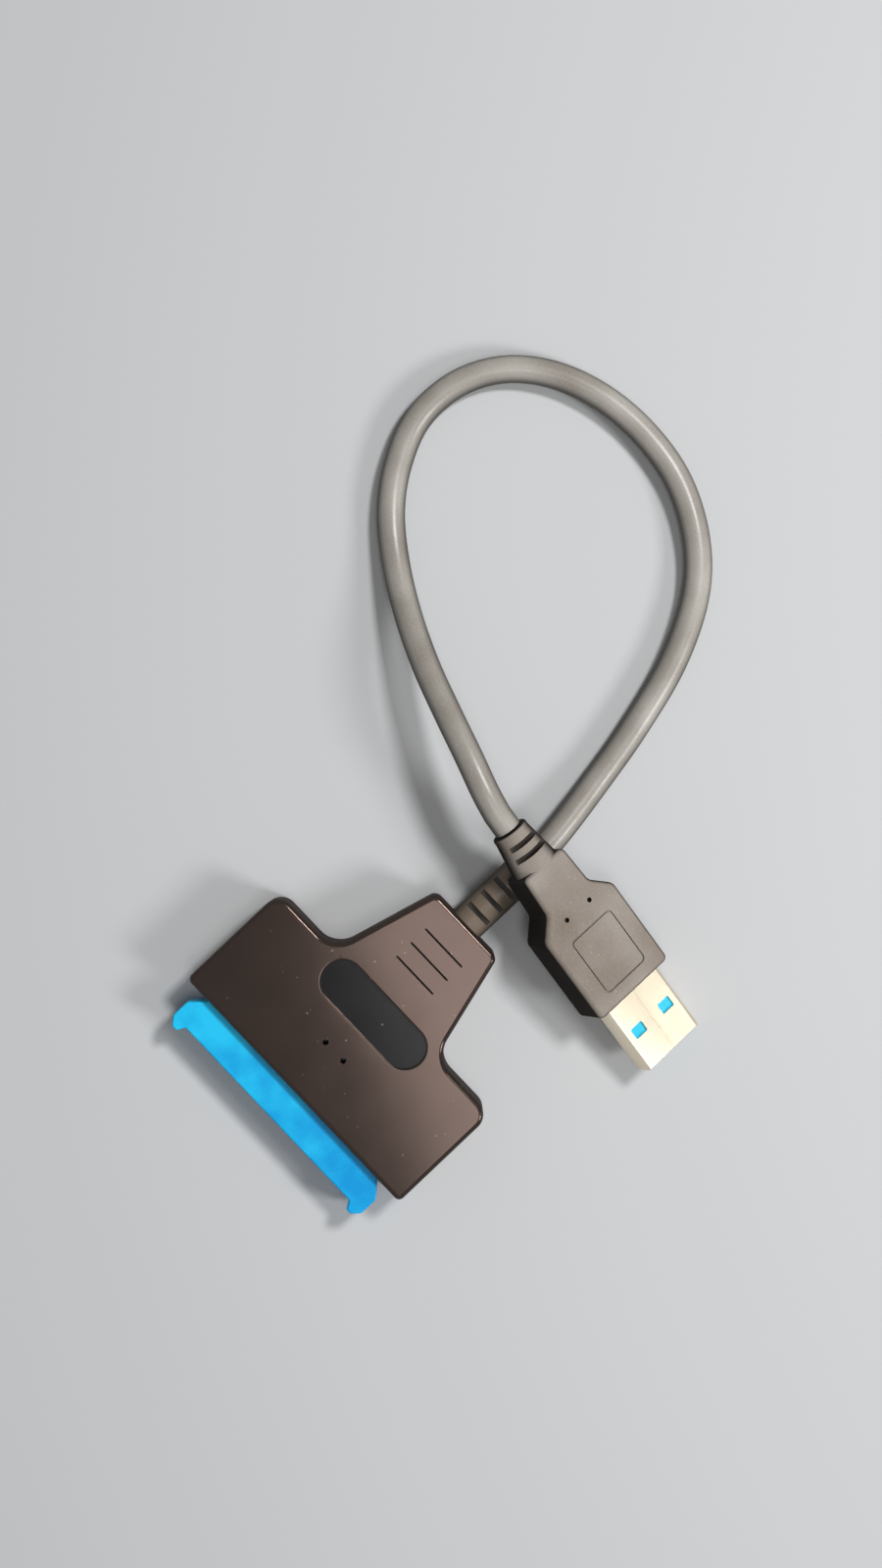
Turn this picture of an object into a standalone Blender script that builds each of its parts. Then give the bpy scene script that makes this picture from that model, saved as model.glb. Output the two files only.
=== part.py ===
# A USB to SATA adapter: a flat T-shaped housing that carries a 22-contact drive receptacle,
# a short round cord laid in one loop, and a moulded USB plug that rests across the cord.
# Metres. +X runs along the receptacle, -Y is its mouth, +Y is the cord's way out, +Z is up.
# The origin is under the middle of the housing and receptacle, on the surface they lie on.

import math

import bmesh
import bpy
from mathutils import Euler, Matrix, Vector

# Gaps between pieces
CLEARANCE = 0.0003
FINE_GAP = 0.00015

# Housing, a T in plan: wings at the front and a tapering tab behind
HOUSING_THICKNESS = 0.0100
HOUSING_DEPTH = 0.0394
WING_DEPTH = 0.0207
TAB_ROOT_WIDTH = 0.0246
TAB_END_WIDTH = 0.0146
WALL = 0.0014
SIDE_ROOM = 0.0024
FRONT_CORNER_RADIUS = 0.0010
WING_CORNER_RADIUS = 0.0028
TAB_ROOT_RADIUS = 0.0045
TAB_CORNER_RADIUS = 0.0015
EDGE_ROUNDING = 0.0008
LIP_HEIGHT = 0.0008
LIP_THICKNESS = 0.0005
POST_DIAMETER = 0.0022
POST_INSET = 0.0028

# What is sunk into the top of the housing
RECESS_LENGTH = 0.0226
RECESS_WIDTH = 0.0078
RECESS_DEPTH = 0.0006
RECESS_SETBACK = 0.0182
RECESS_ROUNDING = 0.499
PINHOLE_DIAMETER = 0.0010
PINHOLE_SPACING = 0.0042
PINHOLE_SETBACK = 0.0094
GROOVE_COUNT = 3
GROOVE_LENGTH = 0.0086
GROOVE_WIDTH = 0.00035
GROOVE_DEPTH = 0.0003
GROOVE_ROUNDING = 0.4
GROOVE_PITCH = 0.00325
GROOVE_SETBACK = 0.0276

# Drive receptacle
RECEPTACLE_HEIGHT = 0.0056
RECEPTACLE_REACH = 0.0060
RECEPTACLE_SEAT = 0.0060
RECEPTACLE_SHOULDER = 0.0038
RECEPTACLE_EDGE = 0.00025
FLANGE_STEP = 0.0012
FLANGE_THICKNESS = 0.0016
EAR_REACH = 0.0074
EAR_SPREAD = 0.0029
EAR_ROOT_STEP = 0.0006
EAR_BACK = 0.0028
EAR_LEAN = 0.0007
EAR_TIP_SLANT = 0.0012
EAR_TIP_RADIUS = 0.0004
EAR_INNER_RADIUS = 0.0004
EAR_ROOT_RADIUS = 0.0005
EAR_OUTER_RADIUS = 0.0008
EAR_BACK_RADIUS = 0.0010
SLOT_DEPTH = 0.0050
SLOT_HEIGHT = 0.0015
SLOT_MARGIN = 0.0010
KEY_WIDTH = 0.0015
KEY_HEIGHT = 0.0012
TROUGH_DEPTH = 0.0008

# Contacts of the receptacle
SIGNAL_CONTACTS = 7
POWER_CONTACTS = 15
CONTACT_PITCH = 0.00127
SEGMENT_GAP = 0.00635
CONTACT_WIDTH = 0.0006
CONTACT_THICKNESS = 0.00025
CONTACT_SETBACK = 0.0009
CONTACT_RISE = 0.0006
CONTACT_RAMP = 0.0008
CONTACT_CREST = 0.0005
CONTACT_FALL = 0.0017
CONTACT_TAIL = 0.0016

# Circuit board and what is on it
BOARD_THICKNESS = 0.0010
BOARD_MARGIN = 0.0008
BOARD_REAR_ROOM = 0.0119
BOARD_CORNER_RADIUS = 0.0005
BOARD_WING_RADIUS = 0.0012
BOARD_ROOT_RADIUS = 0.0010
PART_ROW_OFFSET = 0.0010
PART_ROW_STEP = 0.0030
PART_EDGE = 0.0001
CHIP_SIZE = 0.0070
CHIP_THICKNESS = 0.0009
CRYSTAL_WIDTH = 0.0025
CRYSTAL_HEIGHT = 0.0008
INDUCTOR_SIZE = 0.0040
INDUCTOR_HEIGHT = 0.0018
PAD_PART_LENGTH = 0.0032
PAD_PART_WIDTH = 0.0016
PAD_PART_HEIGHT = 0.0010
LED_LENGTH = 0.0016
LED_WIDTH = 0.0008
LED_HEIGHT = 0.0006

# Cord, its bend relief on the housing and the wires behind it
CORD_DIAMETER = 0.0047
CORD_STEP = 2.1
CORD_LEAD = 0.0030
RELIEF_WALL = 0.0008
RELIEF_LENGTH = 0.0120
RELIEF_FLANGE = 0.0014
RELIEF_SLOTS = 3
RELIEF_SLOT_START = 0.0027
RELIEF_SLOT_PITCH = 0.0030
RELIEF_SLOT_WIDTH = 0.0009
RELIEF_SLOT_DEPTH = 0.0011
RELIEF_EDGE = 0.0003
TAIL_LENGTH = 0.0030
WIRE_DIAMETER = 0.0008
WIRE_BUNCH_PITCH = 0.0005
WIRE_STAGGER = 0.00052
WIRE_PITCH = 0.0012
WIRE_LENGTH = 0.0060

# Plug: distances along it are measured from the front of its boot, +X towards the tip
BOOT_WIDTH = 0.0159
BOOT_THICKNESS = 0.0080
BOOT_BODY = 0.0161
BOOT_SHOULDER = 0.0032
BOOT_NECK_WIDTH = 0.0096
BOOT_NECK_END_WIDTH = 0.0088
BOOT_NECK = 0.0072
BOOT_EDGE = 0.0009
BOOT_CORNER_RADIUS = 0.0010
BOOT_SHOULDER_RADIUS = 0.0016
PLUG_RELIEF_LENGTH = 0.0070
PLUG_RELIEF_ROOT = 0.0082
PLUG_RELIEF_SLOTS = 2
PLUG_SLOT_START = 0.0026
PLUG_SLOT_PITCH = 0.0021
PLUG_RELIEF_COLLAR = 0.0009
PANEL_WIDTH = 0.0091
PANEL_LENGTH = 0.0108
PANEL_SETBACK = 0.0027
PANEL_LINE = 0.0003
PANEL_RADIUS = 0.0009
PIN_MARK_DIAMETER = 0.00085
PIN_MARK_SPACING = 0.0052
PIN_MARK_SETBACK = 0.0168
PIN_MARK_DEPTH = 0.0006

# Metal shell of the plug and the insulator inside it
SHELL_WIDTH = 0.0120
SHELL_HEIGHT = 0.0045
SHELL_REACH = 0.01265
SHELL_SEAT = 0.0045
SHELL_WALL = 0.0003
SHELL_RADIUS = 0.0006
WINDOW_WIDTH = 0.0025
WINDOW_LENGTH = 0.0020
WINDOW_SPACING = 0.0064
WINDOW_SETBACK = 0.0065
TONGUE_SETBACK = 0.0007
TONGUE_THICKNESS = 0.0019
TONGUE_BASE = 0.0052
TONGUE_NOSE = 0.0005
MOULD_LENGTH = 0.0050
MOULD_RADIUS = 0.0004
FLAT_CONTACT_WIDTH = 0.0010
FLAT_CONTACT_LENGTH = 0.0062
FLAT_CONTACT_OUTER = 0.0035
FLAT_CONTACT_INNER = 0.0010
SPRING_CONTACTS = 5
SPRING_CONTACT_PITCH = 0.0020
SPRING_CONTACT_WIDTH = 0.0006
SPRING_CONTACT_LENGTH = 0.0032
SPRING_CONTACT_DROP = 0.0005
SPRING_CONTACT_RAMP = 0.0007

# Where the plug lies: the front of its boot, then its heading, its dip to the tip and its roll
PLUG_PLACE = Vector((0.02566, 0.03514, 0.0069))
PLUG_HEADING = math.radians(-7.0)
PLUG_DIP = math.radians(12.5)
PLUG_ROLL = math.radians(-19.6)

# The cord's way from the housing to the plug, around the loop on the surface it lies on
CORD_ROUTE = (
    (-0.0006, 0.0455, 0.0040),
    (-0.0023, 0.0560, 0.0026),
    (-0.0044, 0.0665, 0.0024),
    (-0.0078, 0.0784, 0.0024),
    (-0.0131, 0.0886, 0.0024),
    (-0.0198, 0.0953, 0.0024),
    (-0.0288, 0.0999, 0.0024),
    (-0.0385, 0.1014, 0.0024),
    (-0.0482, 0.1004, 0.0024),
    (-0.0567, 0.0970, 0.0024),
    (-0.0631, 0.0914, 0.0024),
    (-0.0666, 0.0840, 0.0024),
    (-0.0668, 0.0757, 0.0024),
    (-0.0637, 0.0682, 0.0024),
    (-0.0588, 0.0618, 0.0025),
    (-0.0520, 0.0564, 0.0033),
    (-0.0440, 0.0517, 0.0056),
    (-0.0356, 0.0479, 0.0090),
    (-0.0276, 0.0451, 0.0122),
    (-0.0199, 0.0426, 0.0145),
    (-0.0140, 0.0406, 0.0152),
)

# Fineness of round forms
ARC_STEP = math.radians(15)
ROUND_SIDES = 32
HOLE_SIDES = 16

# Sizes and places worked out from those above
contact_span = (SIGNAL_CONTACTS + POWER_CONTACTS - 2) * CONTACT_PITCH + SEGMENT_GAP
face_half = contact_span / 2 + RECEPTACLE_SHOULDER
seat_half = face_half + EAR_ROOT_STEP
flange_half = seat_half + FLANGE_STEP
housing_half = flange_half + SIDE_ROOM + WALL
front_y = (EAR_REACH - HOUSING_DEPTH) / 2
wing_rear_y = front_y + WING_DEPTH
tab_rear_y = front_y + HOUSING_DEPTH
mid_z = HOUSING_THICKNESS / 2
cavity_low = WALL
cavity_high = HOUSING_THICKNESS - WALL
face_y = front_y - RECEPTACLE_REACH
seat_rear_y = front_y + RECEPTACLE_SEAT
slot_low = mid_z - SLOT_HEIGHT / 2
trough_floor = slot_low - TROUGH_DEPTH
board_top = trough_floor
board_low = board_top - BOARD_THICKNESS
board_front_y = seat_rear_y + CLEARANCE
board_rear_y = tab_rear_y - BOARD_REAR_ROOM
tab_taper = math.atan((TAB_ROOT_WIDTH - TAB_END_WIDTH) / 2 / (HOUSING_DEPTH - WING_DEPTH))
wall_across = WALL / math.cos(tab_taper)
relief_radius = CORD_DIAMETER / 2 + RELIEF_WALL
relief_end_y = tab_rear_y + RELIEF_LENGTH
relief_seat_y = tab_rear_y - WALL - CLEARANCE - RELIEF_FLANGE
boot_length = BOOT_BODY + BOOT_SHOULDER + BOOT_NECK + PLUG_RELIEF_LENGTH
plug_turn = Euler((PLUG_ROLL, PLUG_DIP, PLUG_HEADING), "XYZ").to_matrix()


# Half of the tab's width at a distance along the housing
def tab_half(y):
    return TAB_END_WIDTH / 2 + (tab_rear_y - y) * math.tan(tab_taper)


# Remove what an earlier run or a new file left in the scene
def clear_scene():
    for item in list(bpy.data.objects):
        bpy.data.objects.remove(item, do_unlink=True)


# A material of one colour
def make_look(name, colour, roughness, metallic):
    look = bpy.data.materials.new(name)
    look.use_nodes = True
    shader = look.node_tree.nodes["Principled BSDF"]
    shader.inputs["Base Color"].default_value = (*colour, 1.0)
    shader.inputs["Roughness"].default_value = roughness
    shader.inputs["Metallic"].default_value = metallic
    return look


COVER_PLASTIC = ((0.100, 0.088, 0.080), 0.45, 0.0)
BLUE_PLASTIC = ((0.000, 0.300, 0.820), 0.40, 0.0)
BOOT_PLASTIC = ((0.085, 0.078, 0.072), 0.55, 0.0)
CORD_JACKET = ((0.090, 0.088, 0.085), 0.35, 0.0)
WHITE_PLASTIC = ((0.700, 0.690, 0.660), 0.55, 0.0)
CHIP_BLACK = ((0.015, 0.015, 0.016), 0.50, 0.0)
BOARD_GREEN = ((0.010, 0.110, 0.050), 0.45, 0.0)
CERAMIC = ((0.350, 0.250, 0.160), 0.50, 0.0)
LED_CLEAR = ((0.600, 0.720, 0.900), 0.20, 0.0)
NICKEL = ((0.780, 0.750, 0.690), 0.22, 1.0)
GOLD = ((0.900, 0.640, 0.250), 0.25, 1.0)
WIRE_COLOURS = (
    (0.55, 0.02, 0.02),
    (0.02, 0.02, 0.02),
    (0.70, 0.70, 0.68),
    (0.02, 0.30, 0.06),
    (0.02, 0.06, 0.45),
    (0.70, 0.50, 0.03),
    (0.20, 0.03, 0.35),
    (0.70, 0.20, 0.02),
)


# Turn a bmesh into a named object, with its own material if it is a piece
def add_object(name, form, finish=None, parent=None):
    mesh = bpy.data.meshes.new(name)
    bmesh.ops.recalc_face_normals(form, faces=form.faces)
    form.to_mesh(mesh)
    form.free()
    mesh.shade_smooth()
    mesh.set_sharp_from_angle(angle=math.radians(30))
    item = bpy.data.objects.new(name, mesh)
    bpy.context.collection.objects.link(item)
    if finish:
        mesh.materials.append(make_look(name, *finish))
    item.parent = parent
    return item


# Cut a form out of a piece, or add it to the piece
def combine(piece, form, operation="DIFFERENCE"):
    tool = add_object(f"tool_{piece.name}_{len(piece.modifiers)}", form, parent=piece.parent)
    tool.hide_render = True
    tool.display_type = "WIRE"
    step = piece.modifiers.new(tool.name, "BOOLEAN")
    step.operation = operation
    step.solver = "EXACT"
    step.object = tool


# An outline from corners (x, y, radius), given counter-clockwise
def rounded(corners):
    outline = []
    for index, (x, y, radius) in enumerate(corners):
        here = Vector((x, y))
        after = Vector(corners[(index + 1) % len(corners)][:2])
        come = (here - Vector(corners[index - 1][:2])).normalized()
        go = (after - here).normalized()
        turn = math.atan2(come.x * go.y - come.y * go.x, come.dot(go))
        if radius <= 0:
            outline.append(here)
            continue
        start = here - come * radius * math.tan(abs(turn) / 2)
        spoke = Vector((come.y, -come.x)) * math.copysign(radius, turn)
        steps = max(2, round(abs(turn) / ARC_STEP))
        for step in range(steps + 1):
            outline.append(start - spoke + Matrix.Rotation(turn * step / steps, 2) @ spoke)
    return outline


# The same corners moved inwards
def inset(corners, depth):
    moved = []
    for index, (x, y, radius) in enumerate(corners):
        here = Vector((x, y))
        after = Vector(corners[(index + 1) % len(corners)][:2])
        come = (here - Vector(corners[index - 1][:2])).normalized()
        go = (after - here).normalized()
        inward = Vector((-come.y - go.y, come.x + go.x))
        place = here + inward * depth / (1 + come.dot(go))
        convex = come.x * go.y > come.y * go.x
        radius = max(radius - depth, FINE_GAP) if convex else radius + depth
        moved.append((place.x, place.y, radius))
    return moved


# Corners of a rectangle around a centre
def rectangle(width, height, radius=0.0, centre=(0.0, 0.0)):
    x, y = centre
    signs = ((-1, -1), (1, -1), (1, 1), (-1, 1))
    return [(x + a * width / 2, y + b * height / 2, radius) for a, b in signs]


# A solid with one outline all the way along an axis
def prism(outline, low, high, axis="Z", form=None):
    order = {"X": (2, 0, 1), "Y": (0, 2, 1), "Z": (0, 1, 2)}[axis]
    form = form or bmesh.new()
    base = []
    for u, v in outline:
        values = (u, v, low)
        base.append(form.verts.new([values[slot] for slot in order]))
    face = form.faces.new(base)
    grown = bmesh.ops.extrude_face_region(form, geom=[face])
    top = [part for part in grown["geom"] if isinstance(part, bmesh.types.BMVert)]
    way = Vector([(0.0, 0.0, high - low)[slot] for slot in order])
    bmesh.ops.translate(form, verts=top, vec=way)
    return form


# A box between two corners
def box(low, high, form=None):
    outline = [(low[0], low[1]), (high[0], low[1]), (high[0], high[1]), (low[0], high[1])]
    return prism(outline, low[2], high[2], "Z", form)


# A round bar along an axis, in a form that may hold others
def bar(centre, diameter, length, axis="Z", form=None, sides=HOLE_SIDES):
    form = form or bmesh.new()
    tilt = {"X": Matrix.Rotation(math.pi / 2, 4, "Y"), "Y": Matrix.Rotation(math.pi / 2, 4, "X")}
    place = Matrix.Translation(centre) @ tilt.get(axis, Matrix())
    radius = diameter / 2
    bmesh.ops.create_cone(form, cap_ends=True, segments=sides, radius1=radius, radius2=radius,
                          depth=length, matrix=place)
    return form


# Round the edges that lie all the way at one height
def soften(form, level, width, segments, axis=2):
    edges = []
    for edge in form.edges:
        if all(abs(vert.co[axis] - level) < 1e-6 for vert in edge.verts):
            edges.append(edge)
    bmesh.ops.bevel(form, geom=edges, offset=width, segments=segments, profile=0.5,
                    affect="EDGES", clamp_overlap=True)
    return form


# A solid turned about the X axis from a profile of (x, radius) that ends on the axis
def turned(profile, sides=ROUND_SIDES):
    form = bmesh.new()
    verts = [form.verts.new((x, 0.0, radius)) for x, radius in profile]
    edges = [form.edges.new(pair) for pair in zip(verts, verts[1:])]
    bmesh.ops.spin(form, geom=verts + edges, cent=(0, 0, 0), axis=(1, 0, 0),
                   angle=math.tau, steps=sides, use_merge=True)
    bmesh.ops.remove_doubles(form, verts=form.verts, dist=1e-6)
    return form


# A strip of sheet metal, as wide as given across its side view
def strip(path, width, middle, axis):
    outline = []
    for side in (1, -1):
        for index, (along, height) in enumerate(path[::side]):
            before = Vector(path[::side][max(index - 1, 0)])
            after = Vector(path[::side][min(index + 1, len(path) - 1)])
            way = (after - before).normalized()
            offset = CONTACT_THICKNESS / 2
            outline.append((along - way.y * offset, height + way.x * offset))
    return prism(outline, middle - width / 2, middle + width / 2, axis)


# A round cable along points
def tube(name, points, diameter, finish, fineness):
    path = bpy.data.curves.new(name, "CURVE")
    path.dimensions = "3D"
    path.bevel_depth = diameter / 2
    path.bevel_resolution = fineness
    path.use_fill_caps = True
    spline = path.splines.new("POLY")
    spline.points.add(len(points) - 1)
    for point, place in zip(spline.points, points):
        point.co = (*place, 1.0)
    path.materials.append(make_look(name, *finish))
    item = bpy.data.objects.new(name, path)
    bpy.context.collection.objects.link(item)


# Points about one step apart on a smooth curve through the given places
def smooth_path(places, step):
    places = [Vector(place) for place in places]
    ends = [places[0] * 2 - places[1], *places, places[-1] * 2 - places[-2]]
    fine = []
    for a, b, c, d in zip(ends, ends[1:], ends[2:], ends[3:]):
        for part in range(20):
            t = part / 20
            bend = (a * 2 - b * 5 + c * 4 - d) * t * t + (b * 3 - a - c * 3 + d) * t ** 3
            fine.append(b + (c - a) * t / 2 + bend / 2)
    fine.append(places[-1])
    lengths = [0.0]
    for before, after in zip(fine, fine[1:]):
        lengths.append(lengths[-1] + (after - before).length)
    count = max(2, round(lengths[-1] / step))
    path = []
    for index in range(count + 1):
        goal = lengths[-1] * index / count
        after = next((spot for spot, length in enumerate(lengths) if length >= goal), -1)
        path.append(fine[after])
    path[-1] = places[-1]
    return path


# Corners of the housing in plan
def housing_corners():
    root = TAB_ROOT_WIDTH / 2
    end = TAB_END_WIDTH / 2
    right = [
        (housing_half, front_y, FRONT_CORNER_RADIUS),
        (housing_half, wing_rear_y, WING_CORNER_RADIUS),
        (root, wing_rear_y, TAB_ROOT_RADIUS),
        (end, tab_rear_y, TAB_CORNER_RADIUS),
    ]
    left = [(-x, y, radius) for x, y, radius in reversed(right)]
    return right + left


# Posts that hold the board, under it or over it
def post_places():
    side = housing_half - WALL - BOARD_MARGIN - POST_INSET
    rear_y = board_rear_y - POST_INSET
    rear = tab_half(rear_y) - wall_across - BOARD_MARGIN - POST_DIAMETER / 2
    wing_y = (board_front_y + wing_rear_y) / 2
    return [(sign * x, y) for sign in (-1, 1) for x, y in ((side, wing_y), (rear, rear_y))]


# The openings that both halves of the housing share
def cut_openings(cover):
    opening = rectangle(2 * (seat_half + CLEARANCE), RECEPTACLE_HEIGHT + 2 * CLEARANCE, 0, (0, mid_z))
    combine(cover, prism(rounded(opening), front_y - WALL, front_y + 2 * WALL, "Y"))
    centre = (0, tab_rear_y, mid_z)
    combine(cover, bar(centre, 2 * (relief_radius + CLEARANCE), 4 * WALL, "Y", sides=ROUND_SIDES))


# Posts between two heights, in one form
def posts(low, high):
    form = bmesh.new()
    for x, y in post_places():
        bar((x, y, (low + high) / 2), POST_DIAMETER, high - low, form=form)
    return form


def bottom_cover():
    plan = housing_corners()
    parting = mid_z - CLEARANCE / 2
    form = soften(prism(rounded(plan), 0.0, parting), 0.0, EDGE_ROUNDING, 3)
    cover = add_object("bottom_cover", form, COVER_PLASTIC)
    lip = rounded(inset(plan, WALL - LIP_THICKNESS))
    combine(cover, prism(lip, WALL, parting + LIP_HEIGHT), "UNION")
    combine(cover, prism(rounded(inset(plan, WALL)), cavity_low, HOUSING_THICKNESS))
    combine(cover, posts(cavity_low - WALL / 2, board_low - CLEARANCE), "UNION")
    cut_openings(cover)


def top_cover():
    plan = housing_corners()
    parting = mid_z + CLEARANCE / 2
    form = soften(prism(rounded(plan), parting, HOUSING_THICKNESS), HOUSING_THICKNESS,
                  EDGE_ROUNDING, 3)
    cover = add_object("top_cover", form, COVER_PLASTIC)
    rebate = rounded(inset(plan, WALL - LIP_THICKNESS - CLEARANCE))
    combine(cover, prism(rebate, 0.0, parting + LIP_HEIGHT))
    combine(cover, prism(rounded(inset(plan, WALL)), 0.0, cavity_high))
    combine(cover, posts(board_top + CLEARANCE, cavity_high + WALL / 2), "UNION")
    cut_openings(cover)
    combine(cover, top_sinkings())


# The oval recess, the pinholes over the lights and the grip grooves
def top_sinkings():
    above = HOUSING_THICKNESS + WALL
    centre = (0, front_y + RECESS_SETBACK)
    # The ends of the oval stop a hair short of half round, so that its straight ends never vanish
    oval = rectangle(RECESS_LENGTH, RECESS_WIDTH, RECESS_WIDTH * RECESS_ROUNDING, centre)
    form = prism(rounded(oval), HOUSING_THICKNESS - RECESS_DEPTH, above)
    for side in (-1, 1):
        place = (side * PINHOLE_SPACING / 2, front_y + PINHOLE_SETBACK, HOUSING_THICKNESS)
        bar(place, PINHOLE_DIAMETER, 3 * WALL, form=form)
    for index in range(GROOVE_COUNT):
        y = front_y + GROOVE_SETBACK + index * GROOVE_PITCH
        groove = rectangle(GROOVE_LENGTH, GROOVE_WIDTH, GROOVE_WIDTH * GROOVE_ROUNDING, (0, y))
        prism(rounded(groove), HOUSING_THICKNESS - GROOVE_DEPTH, above, form=form)
    return form


# First and last contact of each segment
def segments():
    start = -contact_span / 2
    signal_end = start + (SIGNAL_CONTACTS - 1) * CONTACT_PITCH
    power_start = signal_end + SEGMENT_GAP
    return (start, signal_end), (power_start, -start)


# Drive receptacle: hooked guide ears, two keyed slots and a trough for the contacts below each
def sata_receptacle():
    ear = face_half + EAR_SPREAD
    tip_y = front_y - EAR_REACH
    right = [
        (face_half, face_y, EAR_INNER_RADIUS),
        (face_half + EAR_LEAN, tip_y, EAR_TIP_RADIUS),
        (ear - EAR_TIP_SLANT, tip_y, EAR_INNER_RADIUS),
        (ear, face_y, EAR_OUTER_RADIUS),
        (ear, front_y - EAR_BACK, EAR_BACK_RADIUS),
        (seat_half, front_y - CLEARANCE, EAR_ROOT_RADIUS),
        (seat_half, seat_rear_y, EAR_TIP_RADIUS),
    ]
    left = [(-x, y, radius) for x, y, radius in reversed(right)]
    low = mid_z - RECEPTACLE_HEIGHT / 2
    high = mid_z + RECEPTACLE_HEIGHT / 2
    form = prism(rounded(right + left), low, high)
    soften(form, low, RECEPTACLE_EDGE, 2)
    soften(form, high, RECEPTACLE_EDGE, 2)
    body = add_object("sata_receptacle", form, BLUE_PLASTIC)
    flange_y = front_y + WALL + CLEARANCE
    flange = box((-flange_half, flange_y, cavity_low + CLEARANCE),
                 (flange_half, flange_y + FLANGE_THICKNESS, cavity_high - CLEARANCE))
    combine(body, flange, "UNION")
    slot_high = slot_low + SLOT_HEIGHT
    for first, last in segments():
        near = first - SLOT_MARGIN
        far = last + SLOT_MARGIN
        keyed = [(near, slot_low), (far, slot_low), (far, slot_high), (near + KEY_WIDTH, slot_high),
                 (near + KEY_WIDTH, slot_high + KEY_HEIGHT), (near, slot_high + KEY_HEIGHT)]
        combine(body, prism(keyed, tip_y, face_y + SLOT_DEPTH, "Y"))
        trough_rear = face_y + SLOT_DEPTH - CLEARANCE
        sleeve_high = trough_floor + CONTACT_THICKNESS + 2 * FINE_GAP
        side_view = [(tip_y, trough_floor), (seat_rear_y + WALL, trough_floor),
                     (seat_rear_y + WALL, sleeve_high), (trough_rear, sleeve_high),
                     (trough_rear, mid_z), (tip_y, mid_z)]
        half = CONTACT_WIDTH / 2 + FINE_GAP
        combine(body, prism(side_view, first - half, last + half, "X"))


# Sprung contacts, from the slots through the body to their pads on the board
def sata_contacts():
    rest = trough_floor + FINE_GAP + CONTACT_THICKNESS / 2
    tip = face_y + CONTACT_SETBACK
    crest = tip + CONTACT_RAMP
    fall = crest + CONTACT_CREST
    path = [(tip, rest), (crest, rest + CONTACT_RISE), (fall, rest + CONTACT_RISE),
            (fall + CONTACT_FALL, rest), (board_front_y + CONTACT_TAIL, rest)]
    for (first, _), name, count in zip(segments(), ("signal", "power"), (SIGNAL_CONTACTS, POWER_CONTACTS)):
        for index in range(count):
            form = strip(path, CONTACT_WIDTH, first + index * CONTACT_PITCH, "X")
            add_object(f"{name}_contact_{index + 1}", form, GOLD)


def circuit_board():
    side = housing_half - WALL - BOARD_MARGIN
    wing = wing_rear_y - WALL - BOARD_MARGIN
    root = tab_half(wing) - wall_across - BOARD_MARGIN
    rear = tab_half(board_rear_y) - wall_across - BOARD_MARGIN
    right = [(side, board_front_y, BOARD_CORNER_RADIUS), (side, wing, BOARD_WING_RADIUS),
             (root, wing, BOARD_ROOT_RADIUS), (rear, board_rear_y, BOARD_CORNER_RADIUS)]
    left = [(-x, y, radius) for x, y, radius in reversed(right)]
    add_object("circuit_board", prism(rounded(right + left), board_low, board_top), BOARD_GREEN)


# A small part soldered to the board
def board_part(name, centre, size, finish):
    x, y = centre
    width, depth, height = size
    low = board_top + FINE_GAP
    form = box((x - width / 2, y - depth / 2, low), (x + width / 2, y + depth / 2, low + height))
    soften(form, low + height, PART_EDGE, 1)
    add_object(name, form, finish)


def board_parts():
    row_y = (board_front_y + wing_rear_y) / 2 + PART_ROW_OFFSET
    next_y = row_y + PART_ROW_STEP
    pad_part = (PAD_PART_LENGTH, PAD_PART_WIDTH, PAD_PART_HEIGHT)
    can = (PAD_PART_LENGTH, CRYSTAL_WIDTH, CRYSTAL_HEIGHT)
    board_part("bridge_chip", (0, next_y), (CHIP_SIZE, CHIP_SIZE, CHIP_THICKNESS), CHIP_BLACK)
    board_part("crystal", (CHIP_SIZE, row_y), can, NICKEL)
    board_part("regulator", (2 * CHIP_SIZE, row_y), pad_part, CHIP_BLACK)
    board_part("capacitor", (2 * CHIP_SIZE, next_y), pad_part, CERAMIC)
    coil = (INDUCTOR_SIZE, INDUCTOR_SIZE, INDUCTOR_HEIGHT)
    board_part("inductor", (-1.5 * CHIP_SIZE, row_y), coil, CHIP_BLACK)
    for side, name in ((-1, "led_left"), (1, "led_right")):
        place = (side * PINHOLE_SPACING / 2, front_y + PINHOLE_SETBACK)
        board_part(name, place, (LED_WIDTH, LED_LENGTH, LED_HEIGHT), LED_CLEAR)


# Bend relief of the housing: a slotted sleeve with a square flange trapped behind the tab's wall
def strain_relief():
    inner = relief_seat_y + RELIEF_FLANGE / 2
    profile = [(inner, 0), (inner, relief_radius), (relief_end_y - RELIEF_EDGE, relief_radius),
               (relief_end_y, relief_radius - RELIEF_EDGE), (relief_end_y, 0)]
    form = turned(profile)
    bmesh.ops.rotate(form, verts=form.verts, matrix=Matrix.Rotation(math.pi / 2, 3, "Z"))
    bmesh.ops.translate(form, verts=form.verts, vec=(0, 0, mid_z))
    sleeve = add_object("strain_relief", form, BOOT_PLASTIC)
    half = tab_half(tab_rear_y - WALL) - wall_across - CLEARANCE
    flange = box((-half, relief_seat_y, cavity_low + CLEARANCE),
                 (half, relief_seat_y + RELIEF_FLANGE, cavity_high - CLEARANCE))
    combine(sleeve, flange, "UNION")
    slots = bmesh.new()
    floor = relief_radius - RELIEF_SLOT_DEPTH
    for index in range(RELIEF_SLOTS):
        y = tab_rear_y + RELIEF_SLOT_START + index * RELIEF_SLOT_PITCH
        for side in (-1, 1):
            reach = sorted((mid_z + side * floor, mid_z + side * 2 * relief_radius))
            box((-relief_radius, y - RELIEF_SLOT_WIDTH / 2, reach[0]),
                (relief_radius, y + RELIEF_SLOT_WIDTH / 2, reach[1]), slots)
    combine(sleeve, slots)


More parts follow.
